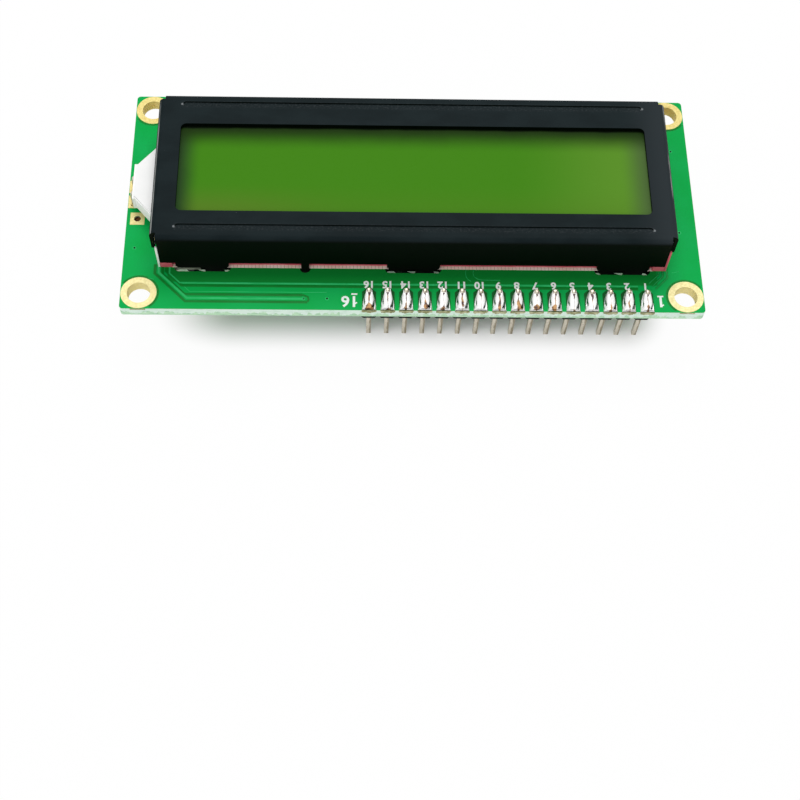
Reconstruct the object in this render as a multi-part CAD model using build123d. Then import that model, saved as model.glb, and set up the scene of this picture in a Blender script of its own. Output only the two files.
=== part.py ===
from build123d import *
import os

# Character display module: a two-line liquid crystal display on its own circuit board.
# Frame: origin at the centre of the four mounting holes, on the board's front face.
# +X runs to pin 1, -Y to the edge that carries the pin header, +Z out of the display.

os.makedirs("parts", exist_ok=True)

# Circuit board
BOARD_LENGTH = 80.0
BOARD_DEPTH = 36.0
BOARD_THICKNESS = 1.6
BOARD_CORNER_RADIUS = 0.5
MOUNTING_TO_SIDE = 2.5
MOUNTING_TO_EDGE = 2.5
MOUNTING_BORE = 3.2
MOUNTING_LAND = 4.9
COPPER = 0.05

# Pin header
PIN_COUNT = 16
PIN_PITCH = 2.54
PIN_SIDE = 0.64
PIN_ONE_TO_SIDE = 8.0
PIN_ROW_TO_EDGE = 2.5
PIN_HOLE = 1.0
PIN_ABOVE_BOARD = 1.4
PIN_BELOW_INSULATOR = 6.0
PIN_TIP_CHAMFER = 0.16
PIN_FIT = 0.01
INSULATOR_HEIGHT = 2.54
INSULATOR_WIDTH = 2.5
INSULATOR_NOTCH = 0.45
PIN_LAND_WIDTH = 1.9
PIN_LAND_BEHIND_ROW = 0.95
PIN_LAND_CORNER = 0.55
SOLDER_HEIGHT = 1.15
SOLDER_WAIST_WIDTH = 1.42
SOLDER_WAIST_LENGTH = 2.1
SOLDER_TOP_WIDTH = 0.95
SOLDER_WAIST_SHARE = 0.35
SOLDER_EDGE_MARGIN = 0.05
HEAP_SHOULDER_SHARE = 0.8
HEAP_SHOULDER_HEIGHT = 0.6
HEAP_TOP_SHARE = 0.35

# Bezel: one folded steel sheet, a little nearer to the far edge of the board
BEZEL_TO_SIDE = 4.4
BEZEL_TO_NEAR_EDGE = 6.55
BEZEL_TO_FAR_EDGE = 5.25
BEZEL_HEIGHT = 7.2
SHEET = 0.5
BEND_INNER_RADIUS = 0.3
CORNER_RELIEF = 0.9
LONG_WALL_GAP = 1.25
END_WALL_GAP = 3.6
WINDOW_SIDE_BORDER = 3.3
WINDOW_NEAR_BORDER = 4.55
WINDOW_FAR_BORDER = 5.15
WINDOW_CORNER_RADIUS = 0.8
RIB_TO_END = 3.4
RIB_TO_NEAR_WALL = 1.95
RIB_TO_FAR_WALL = 1.8
RIB_WIDTH = 0.9
RIB_PRESS = 0.2

# Six hook tabs and two locating pegs along the bezel's long walls
TAB_TO_END = 6.6
FOOT_WIDTH = 7.3
FOOT_CORNER_RADIUS = 0.6
FOOT_CLEARANCE = 0.05
NECK_WIDTH = 2.6
NECK_INSET = 0.15
HOOK_HEIGHT = 1.7
HOOK_BEND_RADIUS = 2.4
HOOK_BEND_ANGLE = 47.0
HOOK_TAIL = 2.8
SLOT_LENGTH = 7.8
SLOT_WIDTH = 1.3
SLOT_OUTWARD = 0.15
TAB_LAND_DEPTH = 2.6
TAB_LAND_LENGTH = 7.4
TAB_LAND_CLEARANCE = 0.15
PEG_PAST_MIDDLE = 0.4
PEG_WIDTH = 1.1
PEG_LENGTH = 1.5
PEG_HOLE = 1.5

# Liquid crystal cell, from the window inwards
CELL_CLEARANCE = 0.2
CELL_TO_BEZEL = 0.03
POLARIZER_THICKNESS = 0.22
FRONT_GLASS_THICKNESS = 1.1
REAR_GLASS_THICKNESS = 1.1
POLARIZER_LAP_X = 1.0
POLARIZER_LAP_Y = 1.4

# Elastomer strips that join the cell to the board
STRIP_END_WALL = 1.3
STRIP_THICKNESS = 1.6
STRIP_CLEARANCE = 0.1

# Edge-lit backlight
FRAME_FLOOR = 0.4
FRAME_LONG_WALL = 1.5
FRAME_END_WALL = 1.8
REFLECTOR_THICKNESS = 0.15
DIFFUSER_THICKNESS = 0.15
GUIDE_CLEARANCE = 0.1
GUIDE_NOSE_WIDTH = 4.4
GUIDE_NOSE_HEIGHT = 1.8
TONGUE_TO_SIDE = 1.05
TONGUE_TIP_WIDTH = 5.8
TONGUE_TIP_LENGTH = 0.45
TONGUE_ROOT_WIDTH = 14.4
TONGUE_UNDERCUT = 0.9
TONGUE_TOP = 3.4
TONGUE_CHAMFER = 0.25
LAMP_LENGTH = 2.4
LAMP_WIDTH = 4.6
LAMP_HEIGHT = 1.9
LAMP_TO_GUIDE = 0.2
LAMP_WALL = 0.7
TERMINAL_SIDE = 0.5
TERMINAL_PITCH = 2.54
TERMINAL_TO_SIDE = 0.8
TERMINAL_BEND_RADIUS = 0.2
TERMINAL_BELOW_BOARD = 0.7
TERMINAL_HOLE = 0.9
TERMINAL_LAND_LENGTH = 1.5
TERMINAL_LAND_WIDTH = 2.1
TERMINAL_SOLDER_HEIGHT = 0.9

# Spare backlight pads at the left side: two square, two round
SQUARE_PAD = 2.0
SQUARE_PAD_TO_SIDE = 1.5
SQUARE_PAD_OFFSET = 4.1
SQUARE_PAD_HOLE = 1.0
ROUND_PAD = 2.0
ROUND_PAD_TO_SIDE = 3.9
ROUND_PAD_HOLE = 0.9

# Rear face: two chips under black resin, chip resistors and empty footprints
CONTROLLER_TO_SIDE = 27.24
CONTROLLER_OFFSET = -0.19
CONTROLLER_DIAMETER = 13.2
CONTROLLER_HEIGHT = 1.7
DRIVER_TO_SIDE = 26.6
DRIVER_OFFSET = -1.0
DRIVER_DIAMETER = 10.3
DRIVER_HEIGHT = 1.5
DOME_FOOT_HEIGHT = 0.35
DOME_FOOT_WIDTH = 0.25
DOME_BANDS = 2
SMALL_CHIP_LENGTH, SMALL_CHIP_WIDTH, SMALL_CHIP_HEIGHT = 2.0, 1.25, 0.55
LARGE_CHIP_LENGTH, LARGE_CHIP_WIDTH, LARGE_CHIP_HEIGHT = 3.2, 1.6, 0.6
CHIP_CAP = 0.4
CHIP_CAP_THICKNESS = 0.03
CHIP_LAND = 0.75
COLUMN_TO_SIDE = 8.75
COLUMN_OFFSET = 0.1
COLUMN_PITCH = 2.34
COLUMN_TO_TAB_LANDS = 2.0
LONE_CHIP_TO_SIDE = 17.53
LONE_CHIP_OFFSET = 3.55
LARGE_CHIP_TO_SIDE = 20.3
LARGE_CHIP_TO_EDGE = 5.2
REGULATOR_TO_SIDE = 10.8
REGULATOR_TO_JUMPERS = 3.82
REGULATOR_SPAN = 5.75
REGULATOR_PITCH = 1.27
REGULATOR_PADS = 4
REGULATOR_PAD_LENGTH, REGULATOR_PAD_WIDTH = 2.1, 0.6
REGULATOR_PAD_CORNER = 0.18
LARGE_CAP_TO_SIDE = 10.55
LARGE_CAP_TO_REGULATOR = 4.58
LARGE_CAP_PITCH = 3.6
LARGE_CAP_TO_TAB_LANDS = 0.5
LARGE_CAP_SPAN = 3.4
LARGE_CAP_PAD_LENGTH, LARGE_CAP_PAD_WIDTH = 1.7, 2.2
SMALL_CAP_TO_CHIP = 2.05
SMALL_CAP_SPAN = 2.3
SMALL_CAP_PAD_LENGTH, SMALL_CAP_PAD_WIDTH = 1.5, 1.3
JUMPER_TO_SIDE = 10.75
JUMPER_TO_TAB_LANDS = 2.5
JUMPER_PITCH = 2.45
JUMPER_DIAMETER = 2.0
JUMPER_SPLIT = 0.2
JUMPER_COUNT = 3
JUMPER_SOLDER_HEIGHT = 0.5

# Levels, measured along Z from the board's front face
FRONT = 0.0
BACK = FRONT - BOARD_THICKNESS
BEZEL_TOP = FRONT + BEZEL_HEIGHT
CEILING = BEZEL_TOP - SHEET
FRONT_POLARIZER_TOP = CEILING - CELL_TO_BEZEL
FRONT_GLASS_TOP = FRONT_POLARIZER_TOP - POLARIZER_THICKNESS
REAR_GLASS_TOP = FRONT_GLASS_TOP - FRONT_GLASS_THICKNESS
REAR_POLARIZER_TOP = REAR_GLASS_TOP - REAR_GLASS_THICKNESS
FRAME_TOP = REAR_POLARIZER_TOP - POLARIZER_THICKNESS
DIFFUSER_TOP = FRAME_TOP
GUIDE_TOP = DIFFUSER_TOP - DIFFUSER_THICKNESS
REFLECTOR_TOP = FRONT + FRAME_FLOOR + REFLECTOR_THICKNESS
INSULATOR_BOTTOM = BACK - INSULATOR_HEIGHT
PIN_TIP = INSULATOR_BOTTOM - PIN_BELOW_INSULATOR

# Planes that several pieces share
NEAR_EDGE = -BOARD_DEPTH / 2
FAR_EDGE = BOARD_DEPTH / 2
LEFT_EDGE = -BOARD_LENGTH / 2
RIGHT_EDGE = BOARD_LENGTH / 2
PIN_ROW_Y = NEAR_EDGE + PIN_ROW_TO_EDGE
PIN_XS = [RIGHT_EDGE - PIN_ONE_TO_SIDE - PIN_PITCH * n for n in range(PIN_COUNT)]
BEZEL_LENGTH = BOARD_LENGTH - 2 * BEZEL_TO_SIDE
BEZEL_NEAR = NEAR_EDGE + BEZEL_TO_NEAR_EDGE
BEZEL_FAR = FAR_EDGE - BEZEL_TO_FAR_EDGE
BEZEL_DEPTH = BEZEL_FAR - BEZEL_NEAR
BEZEL_CENTRE_Y = (BEZEL_NEAR + BEZEL_FAR) / 2
WINDOW_LENGTH = BEZEL_LENGTH - 2 * WINDOW_SIDE_BORDER
WINDOW_DEPTH = BEZEL_DEPTH - WINDOW_NEAR_BORDER - WINDOW_FAR_BORDER
WINDOW_CENTRE_Y = (BEZEL_NEAR + WINDOW_NEAR_BORDER + BEZEL_FAR - WINDOW_FAR_BORDER) / 2
WALL_OFFSET = BEZEL_DEPTH / 2 - SHEET / 2
INNER_HALF_LENGTH = BEZEL_LENGTH / 2 - SHEET
INNER_HALF_DEPTH = BEZEL_DEPTH / 2 - SHEET
STRIP_OFFSET = INNER_HALF_DEPTH - STRIP_CLEARANCE - STRIP_THICKNESS / 2
BETWEEN_STRIPS = 2 * (STRIP_OFFSET - STRIP_THICKNESS / 2 - STRIP_CLEARANCE)
FRAME_HALF_LENGTH = INNER_HALF_LENGTH - CELL_CLEARANCE
STRIP_LENGTH = 2 * (FRAME_HALF_LENGTH - STRIP_END_WALL - STRIP_CLEARANCE)
GUIDE_LENGTH = 2 * (FRAME_HALF_LENGTH - FRAME_END_WALL - GUIDE_CLEARANCE)
GUIDE_DEPTH = BETWEEN_STRIPS - 2 * (FRAME_LONG_WALL + GUIDE_CLEARANCE)
TAB_PITCH = BEZEL_LENGTH / 2 - TAB_TO_END
TAB_XS = [-TAB_PITCH, 0.0, TAB_PITCH]
PEG_X = TAB_PITCH / 2 + PEG_PAST_MIDDLE
SIDES = (-1, 1)
TONGUE_TIP_X = LEFT_EDGE + TONGUE_TO_SIDE
LAMP_X = TONGUE_TIP_X + LAMP_WALL
LAMP_Z = (TONGUE_UNDERCUT + TONGUE_TOP) / 2
TERMINAL_X = LEFT_EDGE + TERMINAL_TO_SIDE
TERMINAL_YS = [BEZEL_CENTRE_Y + side * TERMINAL_PITCH / 2 for side in SIDES]
SQUARE_PAD_PLACES = [
    (LEFT_EDGE + SQUARE_PAD_TO_SIDE, BEZEL_CENTRE_Y + side * SQUARE_PAD_OFFSET) for side in SIDES
]
ROUND_PAD_PLACES = [(LEFT_EDGE + ROUND_PAD_TO_SIDE, y) for y in TERMINAL_YS]
MOUNTING_PLACES = [
    (x * (RIGHT_EDGE - MOUNTING_TO_SIDE), y * (FAR_EDGE - MOUNTING_TO_EDGE)) for x in SIDES for y in SIDES
]

# Places on the rear face, between the two rows of tab lands
TAB_LAND_START = SLOT_WIDTH / 2 - SLOT_OUTWARD + TAB_LAND_CLEARANCE
REAR_ROOM = 2 * (WALL_OFFSET - TAB_LAND_START - TAB_LAND_DEPTH)
REAR_NEAR = BEZEL_CENTRE_Y - REAR_ROOM / 2
REAR_FAR = BEZEL_CENTRE_Y + REAR_ROOM / 2
CONTROLLER_PLACE = (RIGHT_EDGE - CONTROLLER_TO_SIDE, BEZEL_CENTRE_Y + CONTROLLER_OFFSET)
DRIVER_PLACE = (LEFT_EDGE + DRIVER_TO_SIDE, BEZEL_CENTRE_Y + DRIVER_OFFSET)
COLUMN_COUNT = int((REAR_ROOM - 2 * COLUMN_TO_TAB_LANDS) // COLUMN_PITCH) + 1
COLUMN_FIRST_Y = BEZEL_CENTRE_Y + COLUMN_OFFSET - COLUMN_PITCH * (COLUMN_COUNT - 1) / 2
COLUMN_X = RIGHT_EDGE - COLUMN_TO_SIDE
CHIP_PLACES = [(COLUMN_X, COLUMN_FIRST_Y + COLUMN_PITCH * n) for n in range(COLUMN_COUNT)]
LONE_CHIP_PLACE = (RIGHT_EDGE - LONE_CHIP_TO_SIDE, BEZEL_CENTRE_Y + LONE_CHIP_OFFSET)
CHIP_PLACES.append(LONE_CHIP_PLACE)
LARGE_CHIP_PLACE = (LEFT_EDGE + LARGE_CHIP_TO_SIDE, NEAR_EDGE + LARGE_CHIP_TO_EDGE)
JUMPER_X = LEFT_EDGE + JUMPER_TO_SIDE
JUMPER_Y = REAR_NEAR + JUMPER_TO_TAB_LANDS
REGULATOR_X = LEFT_EDGE + REGULATOR_TO_SIDE
REGULATOR_Y = JUMPER_Y + REGULATOR_TO_JUMPERS
LARGE_CAP_FIRST_Y = REGULATOR_Y + LARGE_CAP_TO_REGULATOR
LARGE_CAP_LAST_Y = REAR_FAR - LARGE_CAP_TO_TAB_LANDS - LARGE_CAP_PAD_WIDTH / 2
LARGE_CAP_COUNT = int((LARGE_CAP_LAST_Y - LARGE_CAP_FIRST_Y) // LARGE_CAP_PITCH) + 1
LARGE_CAP_YS = [LARGE_CAP_FIRST_Y + LARGE_CAP_PITCH * n for n in range(LARGE_CAP_COUNT)]


def block(length, depth, bottom, top, x=0.0, y=0.0):
    """Upright box centred at x, y, between two levels."""
    return Pos(x, y, (bottom + top) / 2) * Box(length, depth, top - bottom)


def prism(sketch, bottom, top):
    """Flat outline raised from one level to another."""
    return extrude(Pos(0, 0, bottom) * sketch, amount=top - bottom, dir=(0, 0, 1))


def bore(diameter, bottom, top, x, y):
    """Round upright cutter."""
    return prism(Pos(x, y) * Circle(diameter / 2), bottom, top)


def save(shapes, name):
    """Write one piece, or one group of like pieces, under its node name."""
    group = shapes if isinstance(shapes, list) else [shapes]
    solids = [solid for shape in group for solid in shape.solids()]
    piece = solids[0] if len(solids) == 1 else Compound(solids)
    export_step(piece, f"parts/{name}.step")


def on_walls(piece, x):
    """Place a piece drawn for the near wall on both long walls; the far one is turned half round."""
    near = Pos(x, BEZEL_CENTRE_Y - WALL_OFFSET, 0) * piece
    far = Pos(-x, BEZEL_CENTRE_Y + WALL_OFFSET, 0) * Rot(0, 0, 180) * piece
    return [near, far]


# Circuit board


def tab_slot():
    """Rounded slot that a hook tab passes, set a little outward of the wall's middle plane."""
    outline = Pos(0, -SLOT_OUTWARD) * SlotOverall(SLOT_LENGTH, SLOT_WIDTH)
    return prism(outline, BACK - 1, FRONT + 1)


def small_round(diameter):
    """Outline of a small drilled hole, drawn with eight sides."""
    return RegularPolygon(diameter / 2, 8, rotation=22.5)


def small_hole(diameter, x, y):
    """Cutter for a small drilled hole."""
    return prism(Pos(x, y) * small_round(diameter), BACK - 1, FRONT + 1)


def circuit_board():
    """Glass-epoxy board with its mounting, header, terminal, slot and peg holes."""
    board = prism(RectangleRounded(BOARD_LENGTH, BOARD_DEPTH, BOARD_CORNER_RADIUS), BACK, FRONT)
    cutters = [bore(MOUNTING_BORE + 2 * COPPER, BACK - 1, FRONT + 1, x, y) for x, y in MOUNTING_PLACES]
    cutters += [small_hole(PIN_HOLE, x, PIN_ROW_Y) for x in PIN_XS]
    cutters += [small_hole(TERMINAL_HOLE, TERMINAL_X, y) for y in TERMINAL_YS]
    cutters += [small_hole(SQUARE_PAD_HOLE, x, y) for x, y in SQUARE_PAD_PLACES]
    cutters += [small_hole(ROUND_PAD_HOLE, x, y) for x, y in ROUND_PAD_PLACES]
    for x in TAB_XS:
        cutters += on_walls(tab_slot(), x)
    cutters += on_walls(bore(PEG_HOLE, BACK - 1, FRONT + 1, 0, -SLOT_OUTWARD), -PEG_X)
    return board - cutters


def mounting_plating(x, y):
    """Copper barrel of one mounting hole, with a ring on each face, turned in one profile."""
    inner, outer, land = MOUNTING_BORE / 2, MOUNTING_BORE / 2 + COPPER, MOUNTING_LAND / 2
    profile = Polyline(
        (inner, 0, BACK - COPPER), (land, 0, BACK - COPPER), (land, 0, BACK), (outer, 0, BACK),
        (outer, 0, FRONT), (land, 0, FRONT), (land, 0, FRONT + COPPER), (inner, 0, FRONT + COPPER),
        (inner, 0, BACK - COPPER),
    )
    return Pos(x, y, 0) * revolve(make_face(profile), Axis.Z)


def tab_land():
    """Bare land behind one slot, which the bent hook presses on."""
    y = TAB_LAND_START + TAB_LAND_DEPTH / 2
    return block(TAB_LAND_LENGTH, TAB_LAND_DEPTH, BACK - COPPER, BACK, 0, y)


def lead_gap(side, x, y):
    """Square outline that a soldered lead passes."""
    return Pos(x, y) * Rectangle(side + 2 * PIN_FIT, side + 2 * PIN_FIT)


def pin_land(x):
    """Land of one header pin on the front face: cornered behind the pin, square at the board's edge."""
    length = PIN_ROW_Y + PIN_LAND_BEHIND_ROW - NEAR_EDGE
    outline = Pos(x, NEAR_EDGE + length / 2) * Rectangle(PIN_LAND_WIDTH, length)
    outline = chamfer(outline.vertices().sort_by(Axis.Y)[-2:], PIN_LAND_CORNER)
    return prism(outline - lead_gap(PIN_SIDE, x, PIN_ROW_Y), FRONT, FRONT + COPPER)


def both_faces(outline):
    """The same pad on the rear and on the front face of the board."""
    return [prism(outline, BACK - COPPER, BACK), prism(outline, FRONT, FRONT + COPPER)]


def side_pads():
    """Lamp terminal lands at the board's left edge, and the spare square and round pads."""
    pads = []
    shift = TERMINAL_LAND_LENGTH / 2 - TERMINAL_TO_SIDE + COPPER
    for y in TERMINAL_YS:
        outline = Pos(TERMINAL_X + shift, y) * Rectangle(TERMINAL_LAND_LENGTH, TERMINAL_LAND_WIDTH)
        pads += both_faces(outline - lead_gap(TERMINAL_SIDE, TERMINAL_X, y))
    for x, y in SQUARE_PAD_PLACES:
        pads += both_faces(Pos(x, y) * (Rectangle(SQUARE_PAD, SQUARE_PAD) - small_round(SQUARE_PAD_HOLE)))
    for x, y in ROUND_PAD_PLACES:
        ring = Pos(x, y) * (Circle(ROUND_PAD / 2) - small_round(ROUND_PAD_HOLE))
        pads.append(prism(ring, BACK - COPPER, BACK))
    return pads


def pad_pair(x, y, span, length, width):
    """Two rectangular lands of a two-ended footprint."""
    return [block(length, width, BACK - COPPER, BACK, x + side * span / 2, y) for side in SIDES]


def chip_lands(x, y, length, width):
    """Lands of a chip resistor, from under its caps outwards."""
    span = length - CHIP_CAP + CHIP_LAND
    return pad_pair(x, y, span, CHIP_LAND + CHIP_CAP, width)


def regulator_lands():
    """Eight lands, cornered at both ends, of the empty regulator place."""
    pads = []
    for row in range(REGULATOR_PADS):
        y = REGULATOR_Y + (row - (REGULATOR_PADS - 1) / 2) * REGULATOR_PITCH
        for side in SIDES:
            place = Pos(REGULATOR_X + side * REGULATOR_SPAN / 2, y)
            outline = Rectangle(REGULATOR_PAD_LENGTH, REGULATOR_PAD_WIDTH)
            outline = chamfer(outline.vertices(), REGULATOR_PAD_CORNER)
            pads.append(prism(place * outline, BACK - COPPER, BACK))
    return pads


def jumper_place(number):
    """Centre of one solder jumper, counted from the middle one."""
    return JUMPER_X + (number - (JUMPER_COUNT - 1) / 2) * JUMPER_PITCH


def jumper_lands():
    """Round lands split down the middle."""
    pads = []
    for number in range(JUMPER_COUNT):
        disc = Circle(JUMPER_DIAMETER / 2) - Rectangle(JUMPER_SPLIT, JUMPER_DIAMETER * 2)
        pads += prism(Pos(jumper_place(number), JUMPER_Y) * disc, BACK - COPPER, BACK).solids()
    return pads


# Bezel


def channel(plane, width, run, lower):
    """Sheet folded down along two sides: a flat top, two round bends and two walls."""
    outer_radius = BEND_INNER_RADIUS + SHEET
    outer = Pos(0, (BEZEL_TOP + lower) / 2) * Rectangle(width, BEZEL_TOP - lower)
    inner = Pos(0, (CEILING + lower) / 2) * Rectangle(width - 2 * SHEET, CEILING - lower)
    outer = fillet(outer.vertices().sort_by(Axis.Y)[-2:], outer_radius)
    inner = fillet(inner.vertices().sort_by(Axis.Y)[-2:], BEND_INNER_RADIUS)
    return extrude(plane * (outer - inner), amount=run / 2, both=True)


def on_wall_plane(outline):
    """Give an outline drawn in X and Z the sheet's thickness about the wall's middle plane."""
    return extrude(Plane.XZ * outline, amount=SHEET / 2, both=True)


def hook_tab():
    """Foot, neck and bent hook of one tab, drawn for the near wall."""
    foot_bottom = FRONT + FOOT_CLEARANCE
    foot_top = FRONT + LONG_WALL_GAP + SHEET
    foot = Pos(0, (foot_bottom + foot_top) / 2) * Rectangle(FOOT_WIDTH, foot_top - foot_bottom)
    foot = fillet(foot.vertices().sort_by(Axis.Y)[:2], FOOT_CORNER_RADIUS)
    hook_top = BACK - COPPER - FOOT_CLEARANCE
    hook_bottom = hook_top - HOOK_HEIGHT
    neck_end = FOOT_WIDTH / 2 - FOOT_CORNER_RADIUS - NECK_INSET
    neck_top = foot_bottom + FOOT_CORNER_RADIUS
    neck = Pos(neck_end - NECK_WIDTH / 2, (hook_bottom + neck_top) / 2)
    neck = neck * Rectangle(NECK_WIDTH, neck_top - hook_bottom)
    straight = Line((neck_end, 0), (neck_end - NECK_WIDTH, 0))
    bend = JernArc(start=straight @ 1, tangent=(-1, 0), radius=HOOK_BEND_RADIUS, arc_size=-HOOK_BEND_ANGLE)
    tail = Line(bend @ 1, (bend @ 1) + (bend % 1) * HOOK_TAIL)
    band = trace([straight, bend, tail], SHEET)
    blade = prism(band, hook_bottom, hook_top)
    return on_wall_plane(foot) + on_wall_plane(neck) + blade


def locating_peg():
    """Round-ended tongue of the wall that drops into a hole of the board."""
    top = FRONT + LONG_WALL_GAP + SHEET
    bottom = FRONT - PEG_LENGTH
    outline = Pos(0, (top + bottom) / 2) * Rectangle(PEG_WIDTH, top - bottom)
    outline = fillet(outline.vertices().sort_by(Axis.Y)[:2], PEG_WIDTH * 0.45)
    return on_wall_plane(outline)


def pressed_rib(sheet, y):
    """Press one long shallow groove, which stands out as much on the sheet's inside."""
    length = BEZEL_LENGTH - 2 * RIB_TO_END
    groove = Pos(0, y) * SlotOverall(length, RIB_WIDTH)
    ridge = Pos(0, y) * SlotOverall(length + SHEET, RIB_WIDTH + SHEET)
    sheet += prism(ridge, CEILING - RIB_PRESS, CEILING)
    return sheet - prism(groove, BEZEL_TOP - RIB_PRESS, BEZEL_TOP + 1)


def bezel():
    """Folded frame with window, ribs, hook tabs and locating pegs, all one sheet."""
    lengthwise = channel(Plane.YZ, BEZEL_DEPTH, BEZEL_LENGTH - 2 * CORNER_RELIEF, LONG_WALL_GAP)
    crosswise = channel(Plane.XZ, BEZEL_LENGTH, BEZEL_DEPTH - 2 * CORNER_RELIEF, END_WALL_GAP)
    sheet = Pos(0, BEZEL_CENTRE_Y, 0) * (lengthwise + crosswise)
    sheet = pressed_rib(sheet, BEZEL_NEAR + RIB_TO_NEAR_WALL)
    sheet = pressed_rib(sheet, BEZEL_FAR - RIB_TO_FAR_WALL)
    window = Pos(0, WINDOW_CENTRE_Y) * RectangleRounded(WINDOW_LENGTH, WINDOW_DEPTH, WINDOW_CORNER_RADIUS)
    sheet -= prism(window, CEILING - 1, BEZEL_TOP + 1)
    for x in TAB_XS:
        for tab in on_walls(hook_tab(), x):
            sheet += tab
    for peg in on_walls(locating_peg(), -PEG_X):
        sheet += peg
    return sheet


# Liquid crystal cell


def polarizer(top):
    """Film a little larger than the window, on one side of the cell."""
    length = WINDOW_LENGTH + 2 * POLARIZER_LAP_X
    depth = WINDOW_DEPTH + 2 * POLARIZER_LAP_Y
    return block(length, depth, top - POLARIZER_THICKNESS, top, 0, WINDOW_CENTRE_Y)


def front_glass():
    """Wide glass whose two long ledges carry the contact rows."""
    depth = 2 * (INNER_HALF_DEPTH - CELL_CLEARANCE)
    return block(2 * FRAME_HALF_LENGTH, depth, REAR_GLASS_TOP, FRONT_GLASS_TOP, 0, BEZEL_CENTRE_Y)


def rear_glass():
    """Narrow glass that lies between the two elastomer strips."""
    return block(
        2 * FRAME_HALF_LENGTH, BETWEEN_STRIPS, REAR_POLARIZER_TOP, REAR_GLASS_TOP, 0, BEZEL_CENTRE_Y
    )


def elastomer_strip(side):
    """Conducting strip between the board and one ledge of the front glass."""
    y = BEZEL_CENTRE_Y + side * STRIP_OFFSET
    return block(STRIP_LENGTH, STRIP_THICKNESS, FRONT, REAR_GLASS_TOP, 0, y)


# Backlight


def tongue_outline(inset=0.0):
    """Plan of the lamp housing: two straight flanks that close in to a short square tip."""
    root_x = -FRAME_HALF_LENGTH
    shoulder_x = TONGUE_TIP_X + TONGUE_TIP_LENGTH
    root, tip = TONGUE_ROOT_WIDTH / 2 - inset, TONGUE_TIP_WIDTH / 2 - inset
    flank = [(root_x, root), (shoulder_x, tip), (TONGUE_TIP_X + inset, tip)]
    points = flank + [(x, -y) for x, y in reversed(flank)]
    return Pos(0, BEZEL_CENTRE_Y) * Polygon(*points, align=None)


def lamp_space(left, right, width, height):
    """Box around the lamp's axis, from one X to another."""
    middle = (left + right) / 2
    return block(right - left, width, LAMP_Z - height / 2, LAMP_Z + height / 2, middle, BEZEL_CENTRE_Y)


def backlight_frame():
    """White moulded tray: pocket for the light guide, channels for the strips, lamp housing."""
    body = block(2 * FRAME_HALF_LENGTH, BETWEEN_STRIPS, FRONT, FRAME_TOP, 0, BEZEL_CENTRE_Y)
    end_length = FRAME_HALF_LENGTH - STRIP_LENGTH / 2 - STRIP_CLEARANCE
    end_depth = 2 * (INNER_HALF_DEPTH - CELL_CLEARANCE)
    for side in SIDES:
        x = side * (FRAME_HALF_LENGTH - end_length / 2)
        body += block(end_length, end_depth, FRONT, FRAME_TOP, x, BEZEL_CENTRE_Y)
    body += prism(tongue_outline(), FRONT + TONGUE_UNDERCUT, TONGUE_TOP - TONGUE_CHAMFER)
    body += prism(tongue_outline(TONGUE_CHAMFER), FRONT + TONGUE_UNDERCUT, TONGUE_TOP)
    pocket_length = GUIDE_LENGTH + 2 * GUIDE_CLEARANCE
    pocket_depth = GUIDE_DEPTH + 2 * GUIDE_CLEARANCE
    body -= block(pocket_length, pocket_depth, FRONT + FRAME_FLOOR, FRAME_TOP + 1, 0, BEZEL_CENTRE_Y)
    play = 2 * GUIDE_CLEARANCE
    body -= lamp_space(LAMP_X - GUIDE_CLEARANCE, -GUIDE_LENGTH / 2, LAMP_WIDTH + play, LAMP_HEIGHT + play)
    side = TERMINAL_SIDE + play
    sill = LAMP_Z - side / 2 - TERMINAL_BEND_RADIUS
    for y in TERMINAL_YS:
        body -= block(2 * LAMP_WALL, side, sill, LAMP_Z + side / 2, TONGUE_TIP_X, y)
    return body


def guide_film(bottom, top):
    """Film of the light guide's plan, between two levels."""
    return block(GUIDE_LENGTH, GUIDE_DEPTH, bottom, top, 0, BEZEL_CENTRE_Y)


def light_guide():
    """Clear plate with a nose that reaches into the lamp housing."""
    plate = block(GUIDE_LENGTH, GUIDE_DEPTH, REFLECTOR_TOP, GUIDE_TOP, 0, BEZEL_CENTRE_Y)
    nose_end = LAMP_X + LAMP_LENGTH + LAMP_TO_GUIDE
    return plate + lamp_space(nose_end, -GUIDE_LENGTH / 2, GUIDE_NOSE_WIDTH, GUIDE_NOSE_HEIGHT)


def lamp_terminal(y):
    """Flat lead from the lamp, out through the tip and down through the board."""
    half = TERMINAL_SIDE / 2
    bottom = BACK - TERMINAL_BELOW_BOARD
    corners = [(LAMP_X, LAMP_Z), (TERMINAL_X, LAMP_Z), (TERMINAL_X, bottom)]
    band = trace(FilletPolyline(*corners, radius=half + TERMINAL_BEND_RADIUS), TERMINAL_SIDE)
    return Pos(0, y, 0) * extrude(Plane.XZ * band, amount=half, both=True)


# Solder


def heap_profile(half_widths, heights, lower_shift=0.0):
    """Stepped outline of a solder heap, from its foot up, drawn in the first and second axis."""
    middles = [lower_shift * (1 - level / heights[-1]) for level in heights]
    left = [(middle - half, level) for middle, half, level in zip(middles, half_widths, heights)]
    right = [(middle + half, level) for middle, half, level in zip(middles, half_widths, heights)]
    return Polygon(*left, *reversed(right), align=None)


def heap(across, along, heights, shift=0.0):
    """Heap with flat flanks, where its outline across meets its outline along."""
    front = extrude(Plane.XZ * heap_profile(across, heights), amount=2 * along[0] + abs(shift), both=True)
    side = extrude(Plane.YZ * heap_profile(along, heights, shift), amount=2 * across[0], both=True)
    return front & side


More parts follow.
